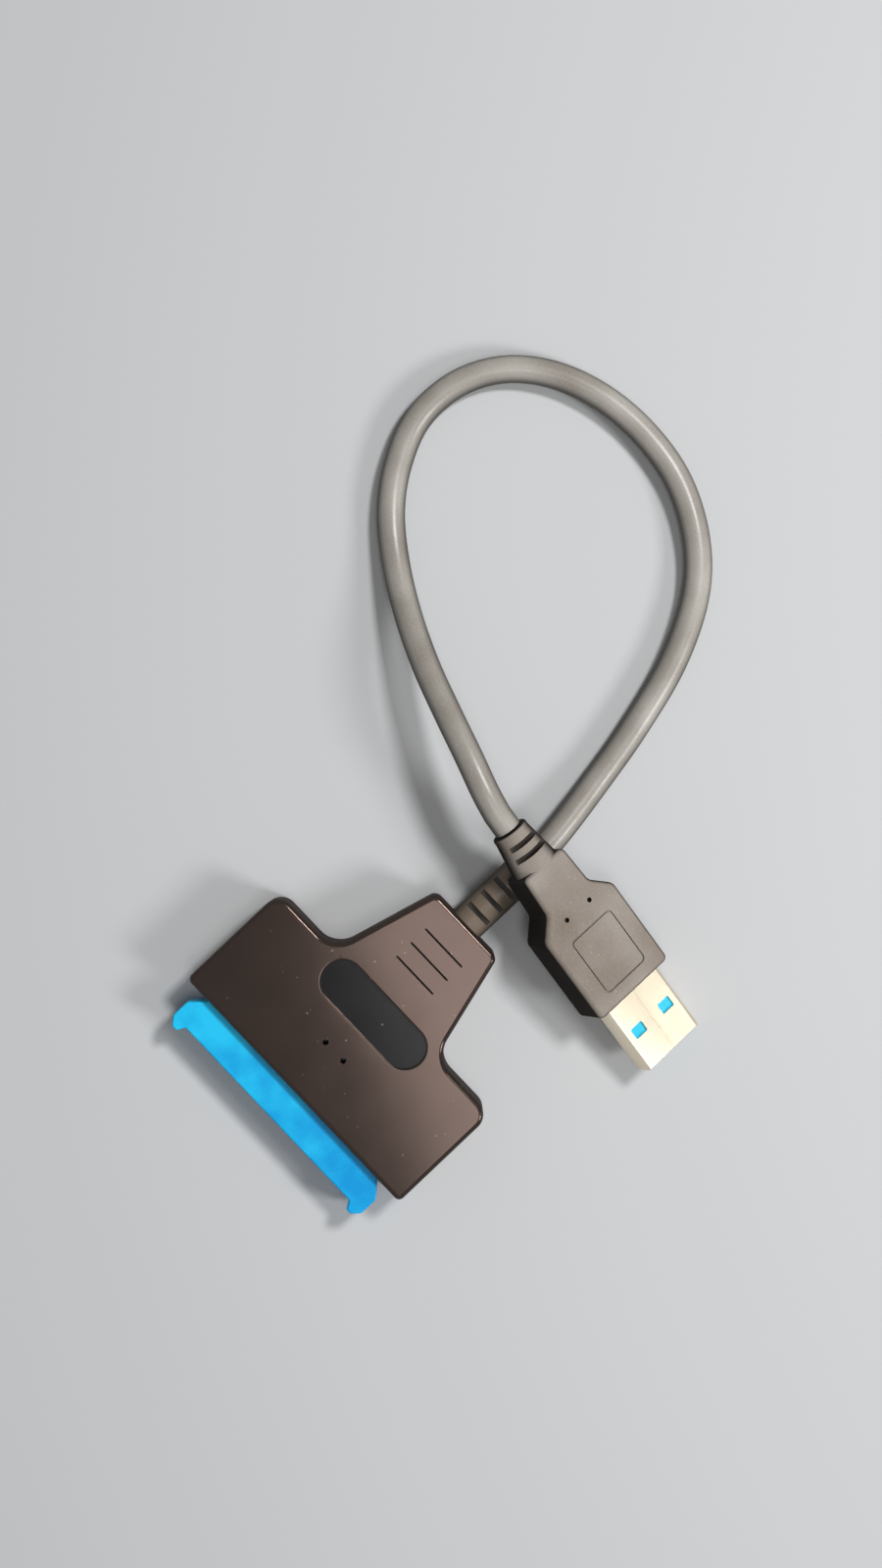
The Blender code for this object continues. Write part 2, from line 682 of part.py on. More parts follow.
# The end of the cord's jacket inside the housing, and the wires that fan out to their pads
def cable_end():
    start_y = relief_seat_y - CLEARANCE
    end_y = start_y - TAIL_LENGTH
    centre = (0, (start_y + end_y) / 2, mid_z)
    add_object("cable_tail", bar(centre, CORD_DIAMETER, TAIL_LENGTH, "Y", sides=16), CORD_JACKET)
    pad_y = end_y - CLEARANCE - WIRE_LENGTH
    pad_z = board_top + FINE_GAP + WIRE_DIAMETER / 2
    for index, colour in enumerate(WIRE_COLOURS):
        step = index - (len(WIRE_COLOURS) - 1) / 2
        high = mid_z + (1 if index % 2 else -1) * WIRE_STAGGER
        near = Vector((step * WIRE_BUNCH_PITCH, end_y - CLEARANCE, high))
        far = Vector((step * WIRE_PITCH, pad_y, pad_z))
        lead = Vector((0, WIRE_LENGTH / 3, 0))
        path = [near, near - lead * 0.5, (near - lead + far + lead) / 2, far + lead * 0.5, far]
        tube(f"wire_{index + 1}", path, WIRE_DIAMETER, (colour, 0.45, 0.0), 1)


# The point of the plug's axis at a distance ahead of its boot
def on_plug(ahead):
    return PLUG_PLACE + plug_turn @ Vector((ahead, 0, 0))


def cord():
    start = Vector((0, relief_end_y + CLEARANCE, mid_z))
    lead_out = start + Vector((0, CORD_LEAD, 0))
    lead_in = on_plug(-boot_length - CLEARANCE - CORD_LEAD)
    middle = smooth_path([lead_out, *CORD_ROUTE, lead_in], CORD_STEP * CORD_DIAMETER)
    path = [start, *middle, on_plug(-boot_length - CLEARANCE)]
    tube("cord", path, CORD_DIAMETER, CORD_JACKET, 3)


# Moulded boot of the plug: waisted grip, engraved panel outline and slotted bend relief
def usb_boot(seat):
    body = BOOT_WIDTH / 2
    neck_x = -BOOT_BODY - BOOT_SHOULDER
    end_x = neck_x - BOOT_NECK
    upper = [
        (0, body, BOOT_CORNER_RADIUS),
        (-BOOT_BODY, body, BOOT_SHOULDER_RADIUS),
        (neck_x, BOOT_NECK_WIDTH / 2, BOOT_SHOULDER_RADIUS),
        (end_x, BOOT_NECK_END_WIDTH / 2, BOOT_CORNER_RADIUS),
    ]
    lower = [(x, -y, radius) for x, y, radius in reversed(upper)]
    top = BOOT_THICKNESS / 2
    form = prism(rounded(upper + lower), -top, top)
    soften(form, -top, BOOT_EDGE, 3)
    soften(form, top, BOOT_EDGE, 3)
    boot = add_object("usb_boot", form, BOOT_PLASTIC, seat)

    rear_x = -boot_length
    root = PLUG_RELIEF_ROOT / 2
    collar_x = rear_x + PLUG_RELIEF_COLLAR
    profile = [(end_x + BOOT_EDGE, 0), (end_x + BOOT_EDGE, root), (end_x, root),
               (collar_x, relief_radius), (rear_x + RELIEF_EDGE, relief_radius),
               (rear_x, relief_radius - RELIEF_EDGE), (rear_x, 0)]
    combine(boot, turned(profile), "UNION")
    slots = bmesh.new()
    floor = relief_radius - RELIEF_SLOT_DEPTH
    for index in range(PLUG_RELIEF_SLOTS):
        x = end_x - PLUG_SLOT_START - index * PLUG_SLOT_PITCH
        for side in (-1, 1):
            reach = sorted((side * floor, side * 2 * root))
            box((x - RELIEF_SLOT_WIDTH / 2, -root, reach[0]),
                (x + RELIEF_SLOT_WIDTH / 2, root, reach[1]), slots)
    combine(boot, slots)

    outer = rectangle(PANEL_LENGTH, PANEL_WIDTH, PANEL_RADIUS, (-PANEL_SETBACK - PANEL_LENGTH / 2, 0))
    ring = add_object("tool_panel_ring", prism(rounded(outer), top - PANEL_LINE, top + WALL), parent=seat)
    ring.hide_render = True
    ring.display_type = "WIRE"
    combine(ring, prism(rounded(inset(outer, PANEL_LINE)), 0.0, top + 2 * WALL))
    line = boot.modifiers.new("panel line", "BOOLEAN")
    line.solver = "EXACT"
    line.object = ring
    marks = bmesh.new()
    for side in (-1, 1):
        place = (-PIN_MARK_SETBACK, side * PIN_MARK_SPACING / 2, top)
        bar(place, PIN_MARK_DIAMETER, 2 * PIN_MARK_DEPTH, form=marks)
    combine(boot, marks)

    mouth = rectangle(SHELL_WIDTH + 2 * CLEARANCE, SHELL_HEIGHT + 2 * CLEARANCE, SHELL_RADIUS)
    combine(boot, prism(rounded(mouth), -SHELL_SEAT - CLEARANCE, WALL, "X"))
    well = rectangle(mould_width() + 2 * CLEARANCE, mould_height() + 2 * CLEARANCE)
    depth = SHELL_SEAT + MOULD_LENGTH + 2 * CLEARANCE
    combine(boot, prism(rounded(well), -depth, -SHELL_SEAT, "X"))


def mould_width():
    return SHELL_WIDTH - 2 * SHELL_WALL - 4 * CLEARANCE


def mould_height():
    return SHELL_HEIGHT - 2 * SHELL_WALL - 2 * CLEARANCE


# Folded metal shell with its latch windows, above and below
def usb_shell(seat):
    outer = rectangle(SHELL_WIDTH, SHELL_HEIGHT, SHELL_RADIUS)
    shell = add_object("usb_shell", prism(rounded(outer), -SHELL_SEAT, SHELL_REACH, "X"), NICKEL, seat)
    combine(shell, prism(rounded(inset(outer, SHELL_WALL)), -SHELL_SEAT - WALL, SHELL_REACH + WALL, "X"))
    windows = bmesh.new()
    for side in (-1, 1):
        centre = (SHELL_REACH - WINDOW_SETBACK, side * WINDOW_SPACING / 2)
        hole = rectangle(WINDOW_LENGTH, WINDOW_WIDTH, 0, centre)
        prism(rounded(hole), -SHELL_HEIGHT, SHELL_HEIGHT, form=windows)
    combine(shell, windows)


# Height of the insulator's upper side and of its underside, which carries the contacts
def tongue_levels():
    high = SHELL_HEIGHT / 2 - SHELL_WALL - FINE_GAP
    return high, high - TONGUE_THICKNESS


def usb_tongue(seat):
    high, low = tongue_levels()
    half = SHELL_WIDTH / 2 - SHELL_WALL - FINE_GAP
    tip = SHELL_REACH - TONGUE_SETBACK
    rear = -SHELL_SEAT + CLEARANCE
    side_view = [(rear, -high), (rear + TONGUE_BASE, -high), (rear + TONGUE_BASE, low),
                 (tip - TONGUE_NOSE, low), (tip, low + TONGUE_NOSE), (tip, high), (rear, high)]
    add_object("usb_tongue", prism(side_view, -half, half, "Y"), BLUE_PLASTIC, seat)


def usb_contacts(seat):
    low = tongue_levels()[1] - FINE_GAP - CONTACT_THICKNESS / 2
    tip = SHELL_REACH - TONGUE_SETBACK - TONGUE_NOSE - CLEARANCE
    flat = [(tip - FLAT_CONTACT_LENGTH, low), (tip, low)]
    places = (-FLAT_CONTACT_OUTER, -FLAT_CONTACT_INNER, FLAT_CONTACT_INNER, FLAT_CONTACT_OUTER)
    for index, y in enumerate(places):
        add_object(f"usb2_contact_{index + 1}", strip(flat, FLAT_CONTACT_WIDTH, y, "Y"), GOLD, seat)
    root = -SHELL_SEAT + CLEARANCE + TONGUE_BASE + FINE_GAP
    reach = root + SPRING_CONTACT_LENGTH
    crest = reach - SPRING_CONTACT_RAMP
    spring = [(root, low), (crest - SPRING_CONTACT_RAMP, low), (crest, low - SPRING_CONTACT_DROP),
              (reach, low)]
    for index in range(SPRING_CONTACTS):
        y = (index - (SPRING_CONTACTS - 1) / 2) * SPRING_CONTACT_PITCH
        form = strip(spring, SPRING_CONTACT_WIDTH, y, "Y")
        add_object(f"usb3_contact_{index + 1}", form, GOLD, seat)


def usb_inner_mould(seat):
    front = -SHELL_SEAT - CLEARANCE
    block = rectangle(mould_width(), mould_height(), MOULD_RADIUS)
    form = prism(rounded(block), front - MOULD_LENGTH, front, "X")
    add_object("usb_inner_mould", form, WHITE_PLASTIC, seat)


def plug():
    seat = bpy.data.objects.new("plug_seat", None)
    bpy.context.collection.objects.link(seat)
    seat.location = PLUG_PLACE
    seat.rotation_euler = (PLUG_ROLL, PLUG_DIP, PLUG_HEADING)
    usb_boot(seat)
    usb_shell(seat)
    usb_tongue(seat)
    usb_contacts(seat)
    usb_inner_mould(seat)


def main():
    clear_scene()
    bottom_cover()
    top_cover()
    sata_receptacle()
    sata_contacts()
    circuit_board()
    board_parts()
    strain_relief()
    cable_end()
    cord()
    plug()


main()
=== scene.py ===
import math

import bmesh
import bpy
from mathutils import Euler, Matrix, Vector


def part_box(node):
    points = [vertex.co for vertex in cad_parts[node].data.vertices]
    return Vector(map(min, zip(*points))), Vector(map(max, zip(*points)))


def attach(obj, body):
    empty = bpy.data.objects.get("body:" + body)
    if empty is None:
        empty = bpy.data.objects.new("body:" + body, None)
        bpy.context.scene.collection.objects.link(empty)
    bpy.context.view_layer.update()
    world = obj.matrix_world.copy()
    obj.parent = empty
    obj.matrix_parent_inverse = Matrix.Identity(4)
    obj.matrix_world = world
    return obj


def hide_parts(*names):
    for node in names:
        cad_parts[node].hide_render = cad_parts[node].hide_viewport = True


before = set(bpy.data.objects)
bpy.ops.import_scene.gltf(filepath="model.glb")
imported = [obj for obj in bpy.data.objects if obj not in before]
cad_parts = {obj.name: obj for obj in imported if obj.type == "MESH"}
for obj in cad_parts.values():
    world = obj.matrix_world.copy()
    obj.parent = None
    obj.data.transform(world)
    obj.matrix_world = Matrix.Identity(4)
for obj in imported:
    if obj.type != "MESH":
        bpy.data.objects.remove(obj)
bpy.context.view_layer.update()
mm = 0.001
past = 1.0 * mm  # how far a cutter runs past the face that it opens
print("frame loaded:", len(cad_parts), "nodes")


# Camera, straight above the part and turned as the photograph is
camera = {
    "place": (-19.8 * mm, 36.3 * mm, 381.5 * mm),
    "up": (-0.7254, 0.6884, 0.0),
    "lens": 52.0, "near": 10.0 * mm,
}


def addCamera():
    lens = bpy.data.cameras.new("camera")
    lens.lens = camera["lens"]
    lens.clip_start = camera["near"]
    viewer = bpy.data.objects.new("camera", lens)
    bpy.context.collection.objects.link(viewer)
    up = Vector(camera["up"]).normalized()
    right = up.cross(Vector((0, 0, 1)))
    turn = Matrix((right, up, Vector((0, 0, 1)))).transposed()
    viewer.matrix_world = Matrix.Translation(camera["place"]) @ turn.to_4x4()
    bpy.context.scene.camera = viewer


addCamera()
print("camera set")


# Scales of the shader groups' patterns in cells to the metre, and how much of each shows
pattern = {
    "patchScale": 160.0, "speckShare": 0.5, "traceScale": 3200.0, "traceShare": 0.5,
    "driftGain": 1.8, "driftStart": -0.4, "leastSpeck": 0.3, "faintestSpeck": 0.3,
    # Slope and start of the painted side shade along the normal's height
    "shadedSideGain": -2.4, "shadedSideStart": 1.9,
}


# An empty group with its sockets
def newGroup(name, inputs, outputs):
    group = bpy.data.node_groups.new(name, "ShaderNodeTree")
    for label, kind, value in inputs:
        socket = group.interface.new_socket(label, in_out="INPUT", socket_type=kind)
        if value is not None:
            socket.default_value = value
    for label, kind in outputs:
        group.interface.new_socket(label, in_out="OUTPUT", socket_type=kind)
    start = group.nodes.new("NodeGroupInput")
    end = group.nodes.new("NodeGroupOutput")
    return group, start, end


# A Math node on numbers or sockets
def calculate(tree, operation, first, second=None, third=None, clamp=False):
    node = tree.nodes.new("ShaderNodeMath")
    node.operation = operation
    node.use_clamp = clamp
    for slot, value in enumerate((first, second, third)):
        if value is None:
            continue
        if isinstance(value, (int, float)):
            node.inputs[slot].default_value = value
        else:
            tree.links.new(value, node.inputs[slot])
    return node.outputs[0]


# A colour between two, each a value or a socket
def mixColours(tree, factor, first, second):
    node = tree.nodes.new("ShaderNodeMix")
    node.data_type = "RGBA"
    for slot, value in ((0, factor), (6, first), (7, second)):
        if isinstance(value, (int, float, tuple)):
            node.inputs[slot].default_value = value
        else:
            tree.links.new(value, node.inputs[slot])
    return node.outputs[2]


def noiseField(tree, place, scale, detail=2.0, roughness=0.5):
    node = tree.nodes.new("ShaderNodeTexNoise")
    node.inputs["Detail"].default_value = detail
    node.inputs["Roughness"].default_value = roughness
    tree.links.new(place, node.inputs["Vector"])
    if isinstance(scale, float):
        node.inputs["Scale"].default_value = scale
    else:
        tree.links.new(scale, node.inputs["Scale"])
    return node.outputs["Fac"]


# Moulded surface: fine grain for the bump, and a roughness that wanders over it
def makeGrainGroup():
    group, start, end = newGroup(
        "mouldedGrain",
        [("Place", "NodeSocketVector", None), ("Grain Size", "NodeSocketFloat", 2500.0),
         ("Roughness", "NodeSocketFloat", 0.45), ("Spread", "NodeSocketFloat", 0.1)],
        [("Height", "NodeSocketFloat"), ("Roughness", "NodeSocketFloat")])
    fine = noiseField(group, start.outputs["Place"], start.outputs["Grain Size"], detail=3.0,
                      roughness=0.6)
    broad = noiseField(group, start.outputs["Place"], pattern["patchScale"], detail=3.0)
    patch = calculate(group, "SUBTRACT", broad, 0.5)
    speck = calculate(group, "SUBTRACT", fine, 0.5)
    both = calculate(group, "MULTIPLY_ADD", speck, pattern["speckShare"], patch)
    rough = calculate(group, "MULTIPLY_ADD", both, start.outputs["Spread"],
                      start.outputs["Roughness"], clamp=True)
    group.links.new(fine, end.inputs["Height"])
    group.links.new(rough, end.inputs["Roughness"])
    return group


# Colour that drifts slowly between two shades, or leans to one along a direction as painted shading
def makeTintGroup():
    group, start, end = newGroup(
        "driftingTint",
        [("Place", "NodeSocketVector", None), ("Scale", "NodeSocketFloat", 60.0),
         ("Lean", "NodeSocketVector", (0, 0, 0)),
         ("Dark", "NodeSocketColor", (0.1, 0.1, 0.1, 1)),
         ("Light", "NodeSocketColor", (0.2, 0.2, 0.2, 1))],
        [("Colour", "NodeSocketColor")])
    broad = noiseField(group, start.outputs["Place"], start.outputs["Scale"])
    fine = noiseField(group, start.outputs["Place"], pattern["traceScale"])
    paintedShading = group.nodes.new("ShaderNodeVectorMath")
    paintedShading.operation = "DOT_PRODUCT"
    group.links.new(start.outputs["Place"], paintedShading.inputs[0])
    group.links.new(start.outputs["Lean"], paintedShading.inputs[1])
    spread = calculate(group, "MULTIPLY_ADD", broad, pattern["driftGain"], pattern["driftStart"])
    widened = calculate(group, "ADD", spread, paintedShading.outputs["Value"], clamp=True)
    trace = calculate(group, "SUBTRACT", fine, 0.5)
    factor = calculate(group, "MULTIPLY_ADD", trace, pattern["traceShare"], widened, clamp=True)
    colour = mixColours(group, factor, start.outputs["Dark"], start.outputs["Light"])
    group.links.new(colour, end.inputs["Colour"])
    return group


# Scattered specks of dust, one in some cells of a fine mesh of cells
def makeDustGroup():
    group, start, end = newGroup(
        "dustSpecks",
        [("Place", "NodeSocketVector", None), ("Scale", "NodeSocketFloat", 900.0),
         ("Share", "NodeSocketFloat", 0.2), ("Size", "NodeSocketFloat", 0.16)],
        [("Mask", "NodeSocketFloat")])
    cells = group.nodes.new("ShaderNodeTexVoronoi")
    group.links.new(start.outputs["Place"], cells.inputs["Vector"])
    group.links.new(start.outputs["Scale"], cells.inputs["Scale"])
    parts = group.nodes.new("ShaderNodeSeparateColor")
    group.links.new(cells.outputs["Color"], parts.inputs["Color"])
    size = calculate(group, "MULTIPLY", start.outputs["Size"],
                     calculate(group, "ADD", parts.outputs["Green"], pattern["leastSpeck"]))
    near = calculate(group, "LESS_THAN", cells.outputs["Distance"], size)
    picked = calculate(group, "LESS_THAN", parts.outputs["Red"], start.outputs["Share"])
    faint = calculate(group, "MULTIPLY_ADD", parts.outputs["Blue"],
                      1.0 - pattern["faintestSpeck"], pattern["faintestSpeck"])
    mask = calculate(group, "MULTIPLY", calculate(group, "MULTIPLY", near, picked), faint)
    group.links.new(mask, end.inputs["Mask"])
    return group


# Painted shade: faces that lean away from up have their colour darkened, down to Side Shade of it,
# and are made rougher
def makePaintedSideShadeGroup():
    group, start, end = newGroup(
        "paintedSideShade",
        [("Normal", "NodeSocketVector", (0, 0, 1)),
         ("Colour", "NodeSocketColor", (0.5, 0.5, 0.5, 1)), ("Roughness", "NodeSocketFloat", 0.4),
         ("Side Shade", "NodeSocketFloat", 1.0), ("Side Rough", "NodeSocketFloat", 0.0)],
        [("Colour", "NodeSocketColor"), ("Roughness", "NodeSocketFloat")])
    parts = group.nodes.new("ShaderNodeSeparateXYZ")
    group.links.new(start.outputs["Normal"], parts.inputs["Vector"])
    shadedSide = calculate(group, "MULTIPLY_ADD", parts.outputs["Z"], pattern["shadedSideGain"],
                     pattern["shadedSideStart"], clamp=True)
    lost = calculate(group, "SUBTRACT", 1.0, start.outputs["Side Shade"])
    kept = calculate(group, "SUBTRACT", 1.0, calculate(group, "MULTIPLY", shadedSide, lost))
    colour = mixColours(group, kept, (0.0, 0.0, 0.0, 1.0), start.outputs["Colour"])
    rough = calculate(group, "MULTIPLY_ADD", shadedSide, start.outputs["Side Rough"],
                      start.outputs["Roughness"], clamp=True)
    group.links.new(colour, end.inputs["Colour"])
    group.links.new(rough, end.inputs["Roughness"])
    return group


grainGroup = makeGrainGroup()
tintGroup = makeTintGroup()
dustGroup = makeDustGroup()
paintedSideShadeGroup = makePaintedSideShadeGroup()


# A group in a material: links by socket, then its own values with _ for the spaces
def useGroup(tree, group, links, **values):
    node = tree.nodes.new("ShaderNodeGroup")
    node.node_tree = group
    for label, source in links.items():
        tree.links.new(source, node.inputs[label])
    for label, value in values.items():
        node.inputs[label.replace("_", " ")].default_value = value
    return node


# A colour as it is seen on a screen, 0 to 255, made linear
def srgb(red, green, blue):
    linear = []
    for channel in (red, green, blue):
        share = channel / 255
        linear.append(share / 12.92 if share <= 0.04045 else ((share + 0.055) / 1.055) ** 2.4)
    return (*linear, 1.0)


# The grain's height as a fine relief of the surface
def addBump(tree, grain, look):
    bump = tree.nodes.new("ShaderNodeBump")
    bump.inputs["Strength"].default_value = look["bump"]
    bump.inputs["Distance"].default_value = look["depth"]
    tree.links.new(grain.outputs["Height"], bump.inputs["Height"])
    tree.links.new(bump.outputs["Normal"], tree.nodes["Principled BSDF"].inputs["Normal"])


# A moulded plastic with its own shades, grain, gloss and dust, and painted shade on the faces that
# lean away from up
def plastic(name, look):
    material = bpy.data.materials.new(name)
    material.use_nodes = True
    tree = material.node_tree
    shader = tree.nodes["Principled BSDF"]
    coordinates = tree.nodes.new("ShaderNodeTexCoord")
    place = {"Place": coordinates.outputs["Object"]}
    tint = useGroup(tree, tintGroup, place, Scale=look["drift"], Lean=look["paintedShading"],
                    Dark=look["dark"], Light=look["light"])
    grain = useGroup(tree, grainGroup, place, Grain_Size=look["grain"],
                     Roughness=look["roughness"], Spread=look["spread"])
    dust = useGroup(tree, dustGroup, place, Scale=look["dustScale"], Share=look["dustShare"])
    faded = calculate(tree, "MULTIPLY", dust.outputs["Mask"], look["dustStrength"])
    surface = {
        "Normal": coordinates.outputs["Normal"], "Roughness": grain.outputs["Roughness"],
        "Colour": mixColours(tree, faded, tint.outputs["Colour"], look["dustColour"]),
    }
    # Painted shade on the sides: colour darker and roughness higher where the normal leans away
    # from up
    paintedShadeNode = useGroup(tree, paintedSideShadeGroup, surface, Side_Shade=look["sideShade"],
                    Side_Rough=look["sideRough"])
    tree.links.new(paintedShadeNode.outputs["Colour"], shader.inputs["Base Color"])
    tree.links.new(paintedShadeNode.outputs["Roughness"], shader.inputs["Roughness"])
    shader.inputs["Specular IOR Level"].default_value = look["gloss"]
    shader.inputs["Specular Tint"].default_value = look["sheen"]
    addBump(tree, grain, look)
    return material


# A metal with fine lines along one direction and a few soft stains
def metal(name, look):
    material = bpy.data.materials.new(name)
    material.use_nodes = True
    tree = material.node_tree
    shader = tree.nodes["Principled BSDF"]
    place = tree.nodes.new("ShaderNodeTexCoord").outputs["Object"]
    lines = tree.nodes.new("ShaderNodeMapping")
    lines.inputs["Rotation"].default_value = (0, 0, look["turn"])
    lines.inputs["Scale"].default_value = (look["stretch"], 1.0, 1.0)
    tree.links.new(place, lines.inputs["Vector"])
    tint = useGroup(tree, tintGroup, {"Place": place}, Scale=look["drift"], Dark=look["dark"],
                    Light=look["light"])
    grain = useGroup(tree, grainGroup, {"Place": lines.outputs["Vector"]},
                     Grain_Size=look["grain"], Roughness=look["roughness"], Spread=look["spread"])
    tree.links.new(tint.outputs["Colour"], shader.inputs["Base Color"])
    tree.links.new(grain.outputs["Roughness"], shader.inputs["Roughness"])
    shader.inputs["Metallic"].default_value = 1.0
    addBump(tree, grain, look)
    return material


plasticBase = {
    "drift": 45.0, "grain": 5200.0, "roughness": 0.42, "spread": 0.16, "bump": 0.25,
    "depth": 0.03 * mm, "gloss": 0.5, "sheen": (1, 1, 1, 1), "paintedShading": (0, 0, 0),
    "sideShade": 1.0, "sideRough": 0.0,
    "dustScale": 900.0, "dustShare": 0.06, "dustStrength": 0.35, "dustColour": srgb(200, 190, 182),
}
metalBase = {"roughness": 0.24, "depth": 0.02 * mm, "stretch": 0.06}
finishes = {
    "cover": plastic("coverPlastic", plasticBase | {
        "dark": srgb(28, 24, 21), "light": srgb(41, 35, 31), "roughness": 0.13, "spread": 0.06,
        "depth": 0.012 * mm, "gloss": 0.45, "sheen": srgb(255, 220, 206),
        "sideShade": 0.4, "sideRough": 0.7,
        "dustScale": 1300.0, "dustShare": 0.08}),
    "recess": plastic("recessPlastic", plasticBase | {
        "dark": srgb(24, 23, 23), "light": srgb(31, 30, 30), "roughness": 0.15,
        "depth": 0.006 * mm, "gloss": 0.09, "dustShare": 0.03}),
    # Near black: painted shade for the floors of the cover's grooves and of the boot's pin marks
    "paintedHollowShade": plastic("paintedHollowShadePlastic", plasticBase | {
        "dark": srgb(13, 12, 12), "light": srgb(19, 17, 16), "roughness": 0.6, "gloss": 0.15,
        "dustShare": 0.03}),
    "blue": plastic("bluePlastic", plasticBase | {
        "dark": srgb(0, 158, 228), "light": srgb(34, 205, 255), "roughness": 0.38, "grain": 3800.0,
        "gloss": 0.16, "dustShare": 0.0, "bump": 0.15, "drift": 190.0,
        # Painted shading: the blue is lighter towards -x and darker towards +x
        "paintedShading": (-18.0, 0, 0)}),
    "tongue": plastic("tonguePlastic", plasticBase | {
        "dark": srgb(36, 190, 232), "light": srgb(70, 214, 246), "roughness": 0.4, "gloss": 0.2,
        "dustShare": 0.0, "bump": 0.1}),
    "boot": plastic("bootPlastic", plasticBase | {
        "dark": srgb(119, 107, 96), "light": srgb(162, 154, 146), "roughness": 0.4, "grain": 2600.0,
        "bump": 0.4, "gloss": 0.08, "sheen": srgb(255, 244, 234), "drift": 90.0,
        "sideShade": 0.08, "sideRough": 0.4,
        "dustScale": 1900.0, "dustShare": 0.45, "dustStrength": 0.6}),
    "relief": plastic("reliefPlastic", plasticBase | {
        "dark": srgb(100, 87, 75), "light": srgb(122, 108, 94), "roughness": 0.4, "gloss": 0.3,
        "sideShade": 0.3, "sideRough": 0.2}),
    # Darker than the sleeve: painted shade for the floors of the bend reliefs' slots
    "paintedSlotShade": plastic("paintedSlotShadePlastic", plasticBase | {
        "dark": srgb(38, 33, 29), "light": srgb(52, 45, 39), "roughness": 0.5, "gloss": 0.2}),
    "cord": plastic("cordJacket", plasticBase | {
        "dark": srgb(126, 117, 107), "light": srgb(184, 180, 172), "roughness": 0.34,
        "grain": 2200.0, "gloss": 0.6, "dustScale": 1100.0, "dustShare": 0.1, "drift": 70.0,
        "sideShade": 0.26, "sideRough": 0.4}),
    "white": plastic("whitePlastic", plasticBase | {
        "dark": srgb(222, 219, 212), "light": srgb(232, 230, 224), "dustShare": 0.0}),
    "chip": plastic("packageBlack", plasticBase | {
        "dark": srgb(26, 26, 27), "light": srgb(34, 34, 35), "dustShare": 0.0}),
    "board": plastic("boardGreen", plasticBase | {
        "dark": srgb(14, 84, 56), "light": srgb(20, 98, 66), "roughness": 0.3, "dustShare": 0.0}),
    "ceramic": plastic("ceramicTan", plasticBase | {
        "dark": srgb(150, 124, 98), "light": srgb(164, 138, 110), "dustShare": 0.0}),
    "led": plastic("ledClear", plasticBase | {
        "dark": srgb(196, 214, 236), "light": srgb(212, 226, 242), "roughness": 0.15,
        "dustShare": 0.0}),
    "shell": metal("shellNickel", metalBase | {
        "dark": srgb(224, 211, 186), "light": srgb(236, 225, 202), "drift": 120.0, "grain": 5000.0,
        "spread": 0.12, "bump": 0.12, "turn": math.radians(7.0)}),
    "gold": metal("contactGold", metalBase | {
        "dark": srgb(222, 180, 96), "light": srgb(240, 204, 124), "drift": 300.0, "grain": 6000.0,
        "spread": 0.1, "bump": 0.08, "turn": math.radians(90.0)}),
}
print("finishes made:", len(finishes))


tiny = 1e-7  # how near two points or heights count as one
leastRadius = 0.15 * mm  # a corner stays at least this round when its outline shrinks


# Outline on a plane: corners (x, y, radius), each rounded by a vertex bevel
def flatShape(corners, arcSteps=10):
    bm = bmesh.new()
    verts = [bm.verts.new((x, y, 0)) for x, y, radius in corners]
    bm.faces.new(verts)
    for index, vert in enumerate(verts):
        here = Vector(corners[index][:2])
        before = Vector(corners[index - 1][:2]) - here
        after = Vector(corners[(index + 1) % len(corners)][:2]) - here
        radius = corners[index][2]
        if radius > 0:
            bmesh.ops.bevel(bm, geom=[vert], offset=radius / math.tan(before.angle(after) / 2),
                            offset_type="OFFSET", segments=arcSteps, profile=0.5, affect="VERTICES",
                            material=-1, clamp_overlap=False)
    return bm


# Corners of a rectangle, counterclockwise
def rectangle(width, height, radius=0.0, centre=(0.0, 0.0)):
    x, y = centre
    signs = ((-1, -1), (1, -1), (1, 1), (-1, 1))
    return [(x + a * width / 2, y + b * height / 2, radius) for a, b in signs]


# Corners of the outline that lies one depth inside another
def within(corners, depth):
    moved = []
    for index, (x, y, radius) in enumerate(corners):
        here = Vector((x, y))
        come = (here - Vector(corners[index - 1][:2])).normalized()
        go = (Vector(corners[(index + 1) % len(corners)][:2]) - here).normalized()
        place = here + Vector((-come.y - go.y, come.x + go.x)) * depth / (1 + come.dot(go))
        outward = come.x * go.y > come.y * go.x
        inside = max(radius - depth, leastRadius) if outward else radius + depth
        moved.append((place.x, place.y, inside))
    return moved


# The strip just inside an outline
def stripOf(bm, depth):
    bm.normal_update()
    inner = bm.faces[:][0]
    bmesh.ops.inset_individual(bm, faces=[inner], thickness=depth, use_even_offset=True)
    bmesh.ops.delete(bm, geom=[inner], context="FACES_ONLY")
    return bm


# Extrude flat faces downwards, and return the face at the new end
def pushDown(bm, faces, depth):
    grown = bmesh.ops.extrude_face_region(bm, geom=faces)
    moved = [part for part in grown["geom"] if isinstance(part, bmesh.types.BMVert)]
    bmesh.ops.translate(bm, verts=moved, vec=(0, 0, -depth))
    return [part for part in grown["geom"] if isinstance(part, bmesh.types.BMFace)][0]


# A flat outline made solid between two heights
def raiseShape(bm, low, high):
    bmesh.ops.translate(bm, verts=bm.verts, vec=(0, 0, high))
    pushDown(bm, bm.faces[:], high - low)
    bmesh.ops.recalc_face_normals(bm, faces=bm.faces)
    return bm


